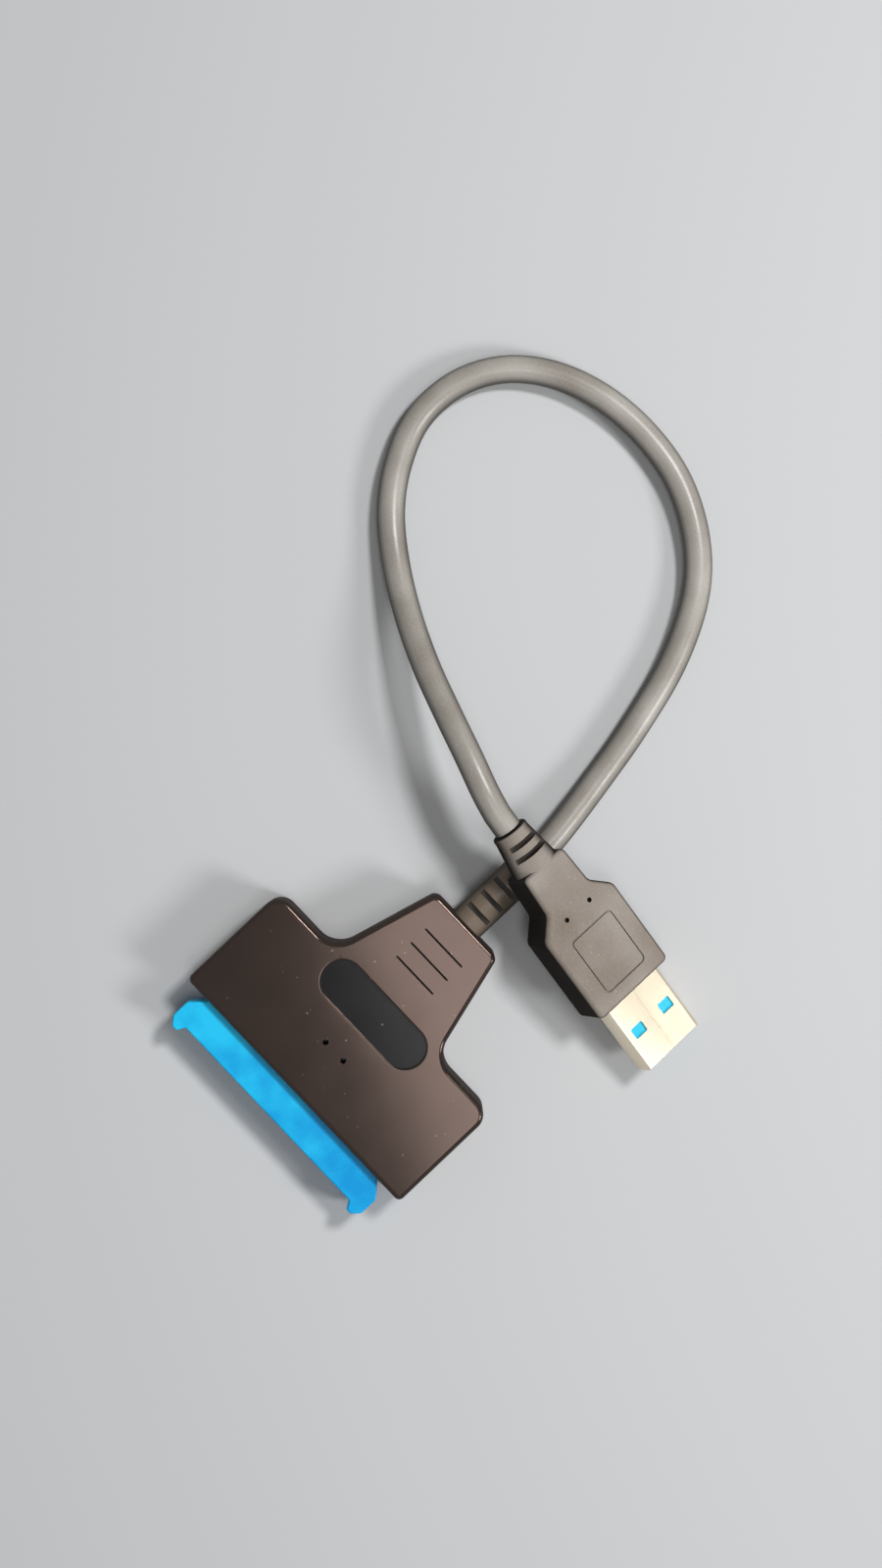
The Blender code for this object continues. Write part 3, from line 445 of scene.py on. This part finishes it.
# A cutter that enters at the top with a slope all round and then goes straight down
def sinkShape(bm, top, floor, rim, drop, look=1):
    bmesh.ops.translate(bm, verts=bm.verts, vec=(0, 0, top + rim))
    base = pushDown(bm, bm.faces[:], rim)
    bm.normal_update()
    bmesh.ops.inset_individual(bm, faces=[base], thickness=rim, use_even_offset=True)
    bmesh.ops.translate(bm, verts=base.verts, vec=(0, 0, -drop))
    pushDown(bm, [base], top - drop - floor)
    bmesh.ops.delete(bm, geom=[base], context="FACES_ONLY")
    bmesh.ops.recalc_face_normals(bm, faces=bm.faces)
    for face in bm.faces:
        face.material_index = look if face.calc_center_median().z < top - drop else 0
    return bm


# Round over the edges that lie at one height
def easeEdges(bm, level, width, steps=5):
    edges = [edge for edge in bm.edges if all(abs(vert.co.z - level) < tiny for vert in edge.verts)]
    bmesh.ops.bevel(bm, geom=edges, offset=width, segments=steps, profile=0.5, affect="EDGES",
                    material=-1)
    return bm


# Stand a shape made on Z along X or Y: the outline's axes become Y and Z, or X and Z
def standAlong(bm, axis):
    turns = {
        "X": Matrix(((0, 0, 1), (1, 0, 0), (0, 1, 0))),
        "Y": Matrix(((1, 0, 0), (0, 0, -1), (0, 1, 0))),
    }
    bmesh.ops.transform(bm, matrix=turns[axis].to_4x4(), verts=bm.verts)
    return bm


# A box from its lowest to its highest corner
def block(low, high):
    centre = ((low[0] + high[0]) / 2, (low[1] + high[1]) / 2)
    shape = flatShape(rectangle(high[0] - low[0], high[1] - low[1], 0, centre))
    return raiseShape(shape, low[2], high[2])


# A cylinder about its centre
def rod(centre, diameter, length, sides=32, axis="Z"):
    bm = bmesh.new()
    bmesh.ops.create_cone(bm, cap_ends=True, segments=sides, radius1=diameter / 2,
                          radius2=diameter / 2, depth=length)
    if axis != "Z":
        standAlong(bm, axis)
    bmesh.ops.translate(bm, verts=bm.verts, vec=centre)
    return bm


# Turned about the X axis from (x, radius) points that start and end on the axis
def turned(profile, sides=64):
    bm = bmesh.new()
    verts = [bm.verts.new((x, 0, radius)) for x, radius in profile]
    edges = [bm.edges.new(pair) for pair in zip(verts, verts[1:])]
    bmesh.ops.spin(bm, geom=verts + edges, cent=(0, 0, 0), axis=(1, 0, 0), angle=math.tau,
                   steps=sides, use_merge=True)
    bmesh.ops.remove_doubles(bm, verts=bm.verts, dist=tiny)
    bmesh.ops.recalc_face_normals(bm, faces=bm.faces)
    return bm


# One finish over a whole cutter
def lookOf(bm, look):
    for face in bm.faces:
        face.material_index = look
    return bm


# Several cutters as one, so that one Boolean cuts them all
def joined(shapes):
    mesh = bpy.data.meshes.new("joined")
    whole = bmesh.new()
    for bm in shapes:
        bm.to_mesh(mesh)
        bm.free()
        whole.from_mesh(mesh)
    bpy.data.meshes.remove(mesh)
    return whole


# A shape made an object, with its finishes in the order of its material numbers
def newPiece(name, bm, *looks):
    mesh = bpy.data.meshes.new(name)
    bm.to_mesh(mesh)
    bm.free()
    for look in looks:
        mesh.materials.append(finishes[look])
    piece = bpy.data.objects.new(name, mesh)
    bpy.context.collection.objects.link(piece)
    return piece


# Cut a shape from a piece, or add it with UNION
def carve(piece, bm, operation="DIFFERENCE"):
    tool = newPiece(piece.name + "Tool", bm)
    step = piece.modifiers.new("carve", "BOOLEAN")
    step.operation = operation
    step.solver = "EXACT"
    step.object = tool


# Apply what is on a piece, smooth its round stretches and put it in place on the part
def settle(piece, node, place=Matrix(), sharp=35.0):
    seen = piece.evaluated_get(bpy.context.evaluated_depsgraph_get())
    mesh = bpy.data.meshes.new_from_object(seen)
    tools = [step.object for step in piece.modifiers if step.type == "BOOLEAN"]
    piece.modifiers.clear()
    piece.data = mesh
    for tool in tools:
        bpy.data.objects.remove(tool)
    mesh.transform(place)
    mesh.shade_smooth()
    mesh.set_sharp_from_angle(angle=math.radians(sharp))
    weigh = piece.modifiers.new("even shading", "WEIGHTED_NORMAL")
    weigh.keep_sharp = True
    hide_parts(node)
    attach(piece, "root")
    print("made", piece.name, len(mesh.polygons), "faces")
    return piece


# Housing, a T in plan, in two halves that meet at mid height
coverLow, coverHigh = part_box("top_cover")
housing = {
    "wingDepth": 20.7 * mm, "tabRoot": 12.3 * mm, "tabEnd": 7.3 * mm,
    "frontRadius": 1.0 * mm, "wingRadius": 2.8 * mm, "rootRadius": 4.5 * mm, "tabRadius": 1.5 * mm,
    "edge": 0.8 * mm, "wall": 1.4 * mm, "gap": 0.3 * mm, "lip": 0.5 * mm, "lipHeight": 0.8 * mm,
}
sunken = {
    "ovalLength": 22.6 * mm, "ovalWidth": 7.8 * mm, "ovalRadius": 3.87 * mm, "ovalDepth": 0.6 * mm,
    "ovalBack": 18.2 * mm, "rim": 0.3 * mm, "rimDrop": 0.102 * mm,
    "holeBack": 9.4 * mm, "holeApart": 4.2 * mm, "holeWidth": 1.0 * mm,
    "grooveBack": 27.6 * mm, "groovePitch": 3.25 * mm, "grooveLength": 8.7 * mm,
    "grooveWidth": 0.34 * mm, "grooveDepth": 0.4 * mm, "grooveRim": 0.04 * mm,
    "grooveRounding": 0.4, "grooves": 3,
}
frontY = coverLow.y
rearY = coverHigh.y
topZ = coverHigh.z
midZ = topZ / 2
socketLow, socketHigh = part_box("sata_receptacle")
reliefLow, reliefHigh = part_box("strain_relief")


# Corners of the T, the right half and its mirror image
def housingPlan():
    wing = frontY + housing["wingDepth"]
    right = [
        (coverHigh.x, frontY, housing["frontRadius"]),
        (coverHigh.x, wing, housing["wingRadius"]),
        (housing["tabRoot"], wing, housing["rootRadius"]),
        (housing["tabEnd"], rearY, housing["tabRadius"]),
    ]
    return right + [(-x, y, radius) for x, y, radius in reversed(right)]


# Openings for the receptacle and for the bend relief, half in each cover
def carveMouths(piece):
    width = 2 * (socket["seatHalf"] + housing["gap"])
    height = socket["height"] + 2 * housing["gap"]
    mouth = raiseShape(flatShape(rectangle(width, height, 0, (0, midZ))),
                       -frontY - 2 * housing["wall"], -frontY + housing["wall"])
    carve(piece, standAlong(mouth, "Y"))
    carve(piece, rod((0, rearY, midZ), relief["diameter"] + 2 * housing["gap"],
                     4 * housing["wall"], sides=64, axis="Y"))


def topShell():
    parting = coverLow.z
    shape = raiseShape(flatShape(housingPlan()), parting, topZ)
    shell = newPiece("topShell", easeEdges(shape, topZ, housing["edge"]), "cover", "recess",
                     "paintedHollowShade")
    rebate = within(housingPlan(), housing["wall"] - housing["lip"] - housing["gap"])
    carve(shell, raiseShape(flatShape(rebate), 0, parting + housing["lipHeight"]))
    inside = within(housingPlan(), housing["wall"])
    carve(shell, raiseShape(flatShape(inside), 0, topZ - housing["wall"]))
    carveMouths(shell)
    oval = rectangle(sunken["ovalLength"], sunken["ovalWidth"], sunken["ovalRadius"],
                     (0, frontY + sunken["ovalBack"]))
    carve(shell, sinkShape(flatShape(oval, arcSteps=16), topZ, topZ - sunken["ovalDepth"],
                           sunken["rim"], sunken["rimDrop"]))
    grooves = []
    for index in range(sunken["grooves"]):
        y = frontY + sunken["grooveBack"] + index * sunken["groovePitch"]
        line = rectangle(sunken["grooveLength"], sunken["grooveWidth"],
                         sunken["grooveWidth"] * sunken["grooveRounding"], (0, y))
        # The groove floors take the third finish, painted shade
        grooves.append(sinkShape(flatShape(line, arcSteps=3), topZ, topZ - sunken["grooveDepth"],
                                 sunken["grooveRim"], sunken["grooveRim"], look=2))
    for side in (-1, 1):
        place = (side * sunken["holeApart"] / 2, frontY + sunken["holeBack"], topZ)
        grooves.append(rod(place, sunken["holeWidth"], 4 * housing["wall"]))
    carve(shell, joined(grooves))
    settle(shell, "top_cover")


def bottomShell():
    parting = coverLow.z - housing["gap"]
    shape = raiseShape(flatShape(housingPlan()), 0, parting)
    shell = newPiece("bottomShell", easeEdges(shape, 0, housing["edge"]), "cover")
    lip = within(housingPlan(), housing["wall"] - housing["lip"])
    lipTop = parting + housing["lipHeight"]
    carve(shell, raiseShape(flatShape(lip), housing["wall"], lipTop), "UNION")
    inside = within(housingPlan(), housing["wall"])
    carve(shell, raiseShape(flatShape(inside), housing["wall"], topZ))
    carveMouths(shell)
    settle(shell, "bottom_cover")


# Drive receptacle with its hooked ears, keyed slots and contact troughs
socket = {
    "height": 5.6 * mm, "faceHalf": 19.675 * mm, "seatHalf": 20.275 * mm, "flangeHalf": 21.475 * mm,
    "reach": 6.0 * mm, "earBack": 2.8 * mm, "earLean": 0.7 * mm, "earSlant": 1.2 * mm,
    "innerRadius": 0.4 * mm, "tipRadius": 0.3 * mm, "outerRadius": 0.8 * mm,
    "backRadius": 1.0 * mm, "rootRadius": 0.5 * mm, "edge": 0.26 * mm, "flange": 1.6 * mm,
    "slotDepth": 5.0 * mm, "slotHeight": 1.5 * mm, "slotMargin": 1.0 * mm,
    "keyWidth": 1.5 * mm, "keyHeight": 1.2 * mm, "trough": 0.8 * mm, "troughSide": 0.45 * mm,
    "troughOverlap": 0.3 * mm, "sleeve": 0.55 * mm, "sleeveOverlap": 1.0 * mm,
    "segments": ((-15.875 * mm, -8.255 * mm), (-1.905 * mm, 15.875 * mm)),
}


def driveSocket():
    tip = socketLow.y
    face = frontY - socket["reach"]
    ear = socketHigh.x
    outline = [
        (socket["faceHalf"], face, socket["innerRadius"]),
        (socket["faceHalf"] + socket["earLean"], tip, socket["tipRadius"]),
        (ear - socket["earSlant"], tip, socket["innerRadius"]),
        (ear, face, socket["outerRadius"]),
        (ear, frontY - socket["earBack"], socket["backRadius"]),
        (socket["seatHalf"], frontY - housing["gap"], socket["rootRadius"]),
        (socket["seatHalf"], socketHigh.y, socket["tipRadius"]),
    ]
    outline += [(-x, y, radius) for x, y, radius in reversed(outline)]
    low = midZ - socket["height"] / 2
    high = midZ + socket["height"] / 2
    shape = raiseShape(flatShape(outline, arcSteps=6), low, high)
    easeEdges(shape, low, socket["edge"], steps=3)
    easeEdges(shape, high, socket["edge"], steps=3)
    body = newPiece("driveSocket", shape, "blue")
    flangeY = frontY + housing["wall"] + housing["gap"]
    carve(body, block((-socket["flangeHalf"], flangeY, socketLow.z),
                      (socket["flangeHalf"], flangeY + socket["flange"], socketHigh.z)), "UNION")
    floor = midZ - socket["slotHeight"] / 2
    ceiling = midZ + socket["slotHeight"] / 2
    tall = ceiling + socket["keyHeight"]
    trough = floor - socket["trough"]
    back = face + socket["slotDepth"]
    for first, last in socket["segments"]:
        near = first - socket["slotMargin"]
        far = last + socket["slotMargin"]
        key = near + socket["keyWidth"]
        slot = [(near, floor), (far, floor), (far, ceiling), (key, ceiling), (key, tall),
                (near, tall)]
        cutter = raiseShape(flatShape([(x, z, 0) for x, z in slot]), -back, -tip)
        carve(body, standAlong(cutter, "Y"))
        left = first - socket["troughSide"]
        right = last + socket["troughSide"]
        overlap = socket["troughOverlap"]
        carve(body, block((left, tip, trough), (right, back - overlap, floor + overlap)))
        carve(body, block((left, back - socket["sleeveOverlap"], trough),
                          (right, socketHigh.y + past, trough + socket["sleeve"])))
    settle(body, "sata_receptacle")


# Bend relief of the housing: a round sleeve slotted from above and below
relief = {
    "diameter": 6.3 * mm, "slots": (2.7 * mm, 5.7 * mm, 8.7 * mm), "slotWidth": 0.9 * mm,
    "slotDepth": 1.1 * mm, "edge": 0.3 * mm, "edgeSteps": 4, "flange": 1.4 * mm,
}


# Bars across a round sleeve, above and below it, that cut its slots
def slotBars(places, radius, depth):
    bars = []
    half = relief["slotWidth"] / 2
    beyond = radius + past
    for x in places:
        for side in (-1, 1):
            low, high = sorted((side * (radius - depth), side * beyond))
            bars.append(block((x - half, -beyond, low), (x + half, beyond, high)))
    # The slot faces take the piece's second finish, painted shade
    return lookOf(joined(bars), 1)


# Profile points of a sleeve's rounded rim; way is 1 where the sleeve ends at the higher x
def roundedRim(end, radius, way):
    edge = relief["edge"]
    points = []
    for step in range(relief["edgeSteps"] + 1):
        angle = math.pi / 2 * step / relief["edgeSteps"]
        points.append((end - way * edge * (1 - math.sin(angle)),
                       radius - edge * (1 - math.cos(angle))))
    return [*points, (end, 0)]


def housingRelief():
    radius = relief["diameter"] / 2
    start = reliefLow.y + relief["flange"] / 2
    profile = [(start, 0), (start, radius), *roundedRim(reliefHigh.y, radius, 1)]
    sleeve = newPiece("housingRelief", turned(profile), "relief", "paintedSlotShade")
    half = (reliefHigh.x - reliefLow.x) / 2
    carve(sleeve, block((reliefLow.y, -half, reliefLow.z - midZ),
                        (reliefLow.y + relief["flange"], half, reliefHigh.z - midZ)), "UNION")
    places = [rearY + distance for distance in relief["slots"]]
    carve(sleeve, slotBars(places, radius, relief["slotDepth"]))
    place = Matrix.Translation((0, 0, midZ)) @ Matrix.Rotation(math.pi / 2, 4, "Z")
    return settle(sleeve, "strain_relief", place)


# Plug, built along +X from the front of its boot and then laid in its place
plug = {
    "place": (25.66 * mm, 35.14 * mm, 6.9 * mm),
    "heading": math.radians(-7.0), "dip": math.radians(12.5), "roll": math.radians(-19.6),
    "shellSeat": 4.5 * mm,
}
plugTurn = Euler((plug["roll"], plug["dip"], plug["heading"]), "XYZ").to_matrix().to_4x4()
plugPlace = Matrix.Translation(plug["place"]) @ plugTurn
boot = {
    "width": 15.9 * mm, "thickness": 8.0 * mm, "body": 16.1 * mm, "shoulder": 3.2 * mm,
    "neckWidth": 9.6 * mm, "neckEnd": 8.8 * mm, "neck": 7.2 * mm, "edge": 0.9 * mm,
    "corner": 1.0 * mm, "shoulderRadius": 1.6 * mm,
    "reliefLength": 7.0 * mm, "reliefRoot": 8.2 * mm, "collar": 0.9 * mm,
    "slots": (2.6 * mm, 4.7 * mm),
    "panelWidth": 9.1 * mm, "panelLength": 10.8 * mm, "panelBack": 2.7 * mm,
    "line": 0.28 * mm, "panelRadius": 0.9 * mm,
    "pinWidth": 0.85 * mm, "pinApart": 5.2 * mm, "pinBack": 16.8 * mm, "pinDepth": 0.6 * mm,
    "wellWidth": 10.8 * mm, "wellHeight": 3.9 * mm, "wellDepth": 5.6 * mm,
}
metalShell = {
    "width": 12.0 * mm, "height": 4.5 * mm, "reach": 12.65 * mm, "wall": 0.3 * mm,
    "radius": 0.6 * mm, "windowWidth": 2.5 * mm, "windowLength": 2.0 * mm,
    "windowApart": 6.4 * mm, "windowBack": 6.5 * mm, "windowRadius": 0.25 * mm,
    "seam": 0.07 * mm, "rim": 0.12 * mm,
}
bootLength = boot["body"] + boot["shoulder"] + boot["neck"] + boot["reliefLength"]


def plugBoot():
    neckX = -boot["body"] - boot["shoulder"]
    endX = neckX - boot["neck"]
    upper = [
        (0, boot["width"] / 2, boot["corner"]),
        (-boot["body"], boot["width"] / 2, boot["shoulderRadius"]),
        (neckX, boot["neckWidth"] / 2, boot["shoulderRadius"]),
        (endX, boot["neckEnd"] / 2, boot["corner"]),
    ]
    lower = [(x, -y, radius) for x, y, radius in reversed(upper)]
    top = boot["thickness"] / 2
    shape = raiseShape(flatShape(upper + lower, arcSteps=8), -top, top)
    easeEdges(shape, -top, boot["edge"], steps=6)
    easeEdges(shape, top, boot["edge"], steps=6)
    body = newPiece("plugBoot", shape, "boot", "paintedSlotShade", "paintedHollowShade")

    root = boot["reliefRoot"] / 2
    end = relief["diameter"] / 2
    profile = [(endX + boot["edge"], 0), (endX + boot["edge"], root), (endX, root),
               (boot["collar"] - bootLength, end), *roundedRim(-bootLength, end, -1)]
    carve(body, turned(profile), "UNION")
    places = [endX - distance for distance in boot["slots"]]
    carve(body, slotBars(places, root, root - end + relief["slotDepth"]))

    panel = rectangle(boot["panelLength"], boot["panelWidth"], boot["panelRadius"],
                      (-boot["panelBack"] - boot["panelLength"] / 2, 0))
    frameLine = stripOf(flatShape(panel, arcSteps=6), boot["line"])
    carve(body, raiseShape(frameLine, top - boot["line"], top + past))
    marks = []
    for side in (-1, 1):
        place = (-boot["pinBack"], side * boot["pinApart"] / 2, top)
        marks.append(rod(place, boot["pinWidth"], 2 * boot["pinDepth"], sides=24))
    # The pin marks take the boot's third finish, painted shade
    carve(body, lookOf(joined(marks), 2))

    gap = housing["gap"]
    mouth = rectangle(metalShell["width"] + 2 * gap, metalShell["height"] + 2 * gap,
                      metalShell["radius"])
    seat = -plug["shellSeat"]
    carve(body, standAlong(raiseShape(flatShape(mouth, arcSteps=6), seat - gap, past), "X"))
    well = rectangle(boot["wellWidth"], boot["wellHeight"])
    carve(body, standAlong(raiseShape(flatShape(well), seat - boot["wellDepth"], seat), "X"))
    return settle(body, "usb_boot", plugPlace)


def plugShell():
    width = metalShell["width"]
    height = metalShell["height"]
    reach = metalShell["reach"]
    section = rectangle(width, height, metalShell["radius"])
    shape = raiseShape(flatShape(section, arcSteps=8), -plug["shellSeat"], reach)
    easeEdges(shape, reach, metalShell["rim"], steps=3)
    shell = newPiece("plugShell", standAlong(shape, "X"), "shell")
    hollow = flatShape(within(section, metalShell["wall"]), arcSteps=8)
    carve(shell, standAlong(raiseShape(hollow, -plug["shellSeat"] - past, reach + past), "X"))
    windows = []
    for side in (-1, 1):
        centre = (reach - metalShell["windowBack"], side * metalShell["windowApart"] / 2)
        opening = rectangle(metalShell["windowLength"], metalShell["windowWidth"],
                            metalShell["windowRadius"], centre)
        windows.append(raiseShape(flatShape(opening, arcSteps=5), -height, height))
    carve(shell, joined(windows))
    seam = metalShell["seam"]
    carve(shell, block((-past, -seam / 2, height / 2 - seam), (reach + past, seam / 2, height)))
    return settle(shell, "usb_shell", plugPlace)


# Cord, on the part's own route
cordRoute = {
    "diameter": 4.7 * mm, "lead": 3.0 * mm, "step": 1.5 * mm,
    "points": (
        (-0.0006, 0.0455, 0.0040),
        (-0.0023, 0.0560, 0.0026),
        (-0.0044, 0.0665, 0.0024),
        (-0.0078, 0.0784, 0.0024),
        (-0.0131, 0.0886, 0.0024),
        (-0.0198, 0.0953, 0.0024),
        (-0.0288, 0.0999, 0.0024),
        (-0.0385, 0.1014, 0.0024),
        (-0.0482, 0.1004, 0.0024),
        (-0.0567, 0.0970, 0.0024),
        (-0.0631, 0.0914, 0.0024),
        (-0.0666, 0.0840, 0.0024),
        (-0.0668, 0.0757, 0.0024),
        (-0.0637, 0.0682, 0.0024),
        (-0.0588, 0.0618, 0.0025),
        (-0.0520, 0.0564, 0.0033),
        (-0.0440, 0.0517, 0.0056),
        (-0.0356, 0.0479, 0.0090),
        (-0.0276, 0.0451, 0.0122),
        (-0.0199, 0.0426, 0.0145),
        (-0.0140, 0.0406, 0.0152),
    ),
}


# Points about one step apart on a smooth curve through the given places
def smoothPath(places, step):
    places = [Vector(place) for place in places]
    ends = [places[0] * 2 - places[1], *places, places[-1] * 2 - places[-2]]
    path = []
    for a, b, c, d in zip(ends, ends[1:], ends[2:], ends[3:]):
        parts = max(2, round((c - b).length / step))
        for part in range(parts):
            t = part / parts
            bend = (a * 2 - b * 5 + c * 4 - d) * t * t + (b * 3 - a - c * 3 + d) * t ** 3
            path.append(b + (c - a) * t / 2 + bend / 2)
    return [*path, places[-1]]


def cordJacket():
    start = Vector((0, reliefHigh.y + housing["gap"], midZ))
    leadOut = start + Vector((0, cordRoute["lead"], 0))
    rear = -bootLength - housing["gap"]
    end = plugPlace @ Vector((rear, 0, 0))
    leadIn = plugPlace @ Vector((rear - cordRoute["lead"], 0, 0))
    path = [start, *smoothPath([leadOut, *cordRoute["points"], leadIn], cordRoute["step"]), end]
    line = bpy.data.curves.new("cordJacket", "CURVE")
    line.dimensions = "3D"
    line.bevel_depth = cordRoute["diameter"] / 2
    line.bevel_resolution = 8
    line.use_fill_caps = True
    spline = line.splines.new("POLY")
    spline.points.add(len(path) - 1)
    for point, place in zip(spline.points, path):
        point.co = (*place, 1.0)
    spline.use_smooth = True
    line.materials.append(finishes["cord"])
    jacket = bpy.data.objects.new("cordJacket", line)
    bpy.context.collection.objects.link(jacket)
    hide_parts("cord")
    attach(jacket, "root")


# Pieces whose solids are right as they are get their finish, by how their names start
nodeLooks = {
    "signal_contact": "gold", "power_contact": "gold", "usb2_contact": "gold",
    "usb3_contact": "gold", "circuit_board": "board", "bridge_chip": "chip",
    "regulator": "chip", "inductor": "chip", "capacitor": "ceramic", "crystal": "shell",
    "led": "led", "cable_tail": "cord", "usb_tongue": "tongue", "usb_inner_mould": "white",
}
wires = {
    "colours": ((190, 38, 36), (26, 26, 26), (216, 216, 212), (28, 148, 68), (32, 70, 178),
                (216, 188, 46), (122, 46, 158), (216, 122, 34)),
    "darker": 0.92,
}


# One material in place of those that a node came with
def dressNode(node, material):
    node.data.materials.clear()
    node.data.materials.append(material)


def dressNodes():
    for name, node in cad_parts.items():
        for start, look in nodeLooks.items():
            if name.startswith(start):
                dressNode(node, finishes[look])
    for number, colour in enumerate(wires["colours"], 1):
        shades = {
            "dark": srgb(*[channel * wires["darker"] for channel in colour]),
            "light": srgb(*colour), "dustShare": 0.0,
        }
        dressNode(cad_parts[f"wire_{number}"],
                  plastic(f"insulation{number}", plasticBase | shades))
    print("nodes dressed")


# Surface, lamps and world
stage = {
    "floor": srgb(205, 206, 207), "floorRough": 0.7, "span": 3.0, "aim": (-0.01, 0.03, 0.0),
    "keyPlace": (0.644, 0.297, 0.554), "keySize": (0.24, 0.24), "keyPower": 3.15,
    "sheenPlace": (0.077, 0.002, 0.51), "sheenSize": (0.16, 0.12), "sheenPower": 0.4,
    "sheenTurn": math.radians(-24.0),
    "rimPlace": (0.01, 0.43, 0.63), "rimSize": (0.13, 0.13), "rimPower": 2.85,
    "sky": 0.15, "seenSky": 1.0, "fade": (0.19, 0.5),
}


# A lamp with the size, power and place that the stage gives it
def areaLamp(name, shape, turn):
    lamp = bpy.data.lights.new(name, "AREA")
    lamp.shape = shape
    lamp.size, lamp.size_y = stage[name + "Size"]
    lamp.energy = stage[name + "Power"]
    holder = bpy.data.objects.new(name, lamp)
    bpy.context.collection.objects.link(holder)
    holder.location = stage[name + "Place"]
    holder.rotation_euler = turn


# The turn that points a lamp from its place at the part
def aimFrom(place):
    return (Vector(stage["aim"]) - Vector(place)).to_track_quat("-Z", "Y").to_euler()


# Rays that look at the background: straight, mirrored or through glass
def seenRays(tree):
    rays = tree.nodes.new("ShaderNodeLightPath").outputs
    seen = calculate(tree, "MAXIMUM", rays["Is Camera Ray"], rays["Is Glossy Ray"])
    return calculate(tree, "MAXIMUM", seen, rays["Is Transmission Ray"])


# One shader where the factor is 0 and another where it is 1
def mixShaders(tree, factor, first, second, output):
    mix = tree.nodes.new("ShaderNodeMixShader")
    for slot, source in enumerate((factor, first.outputs[0], second.outputs[0])):
        tree.links.new(source, mix.inputs[slot])
    tree.links.new(mix.outputs[0], tree.nodes[output].inputs["Surface"])


# The pale surface, which keeps its own colour past the lamps' reach
def floorMaterial():
    material = bpy.data.materials.new("paleFloor")
    material.use_nodes = True
    tree = material.node_tree
    shader = tree.nodes["Principled BSDF"]
    shader.inputs["Base Color"].default_value = stage["floor"]
    shader.inputs["Roughness"].default_value = stage["floorRough"]
    away = tree.nodes.new("ShaderNodeVectorMath")
    away.operation = "LENGTH"
    tree.links.new(tree.nodes.new("ShaderNodeTexCoord").outputs["Object"], away.inputs[0])
    far = tree.nodes.new("ShaderNodeMapRange")
    far.interpolation_type = "SMOOTHSTEP"
    far.inputs["From Min"].default_value, far.inputs["From Max"].default_value = stage["fade"]
    tree.links.new(away.outputs["Value"], far.inputs["Value"])
    plainFar = tree.nodes.new("ShaderNodeEmission")
    plainFar.inputs["Color"].default_value = stage["floor"]
    factor = calculate(tree, "MULTIPLY", far.outputs["Result"], seenRays(tree))
    mixShaders(tree, factor, shader, plainFar, "Material Output")
    return material


# A dim white sky for the light, and the floor's colour where the sky itself is seen
def skyWorld():
    world = bpy.data.worlds.new("sky")
    world.use_nodes = True
    tree = world.node_tree
    plain = tree.nodes["Background"]
    plain.inputs["Color"].default_value = (1, 1, 1, 1)
    plain.inputs["Strength"].default_value = stage["sky"]
    seen = tree.nodes.new("ShaderNodeBackground")
    seen.inputs["Color"].default_value = stage["floor"]
    seen.inputs["Strength"].default_value = stage["seenSky"]
    mixShaders(tree, seenRays(tree), plain, seen, "World Output")
    return world


def setStage():
    shape = bmesh.new()
    bmesh.ops.create_grid(shape, x_segments=1, y_segments=1, size=stage["span"] / 2)
    floor = newPiece("floor", shape)
    floor.data.materials.append(floorMaterial())
    areaLamp("key", "DISK", aimFrom(stage["keyPlace"]))
    areaLamp("sheen", "RECTANGLE", (0, 0, stage["sheenTurn"]))
    areaLamp("rim", "DISK", aimFrom(stage["rimPlace"]))
    bpy.context.scene.world = skyWorld()
    bpy.context.scene.view_settings.view_transform = "Standard"
    print("stage set")


reliefPiece = housingRelief()
bootPiece = plugBoot()
shellPiece = plugShell()
plugNodes = [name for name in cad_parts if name.startswith(("usb2_", "usb3_"))]
plugNodes += ["usb_tongue", "usb_inner_mould"]
cordJacket()
topShell()
bottomShell()
driveSocket()
dressNodes()
setStage()
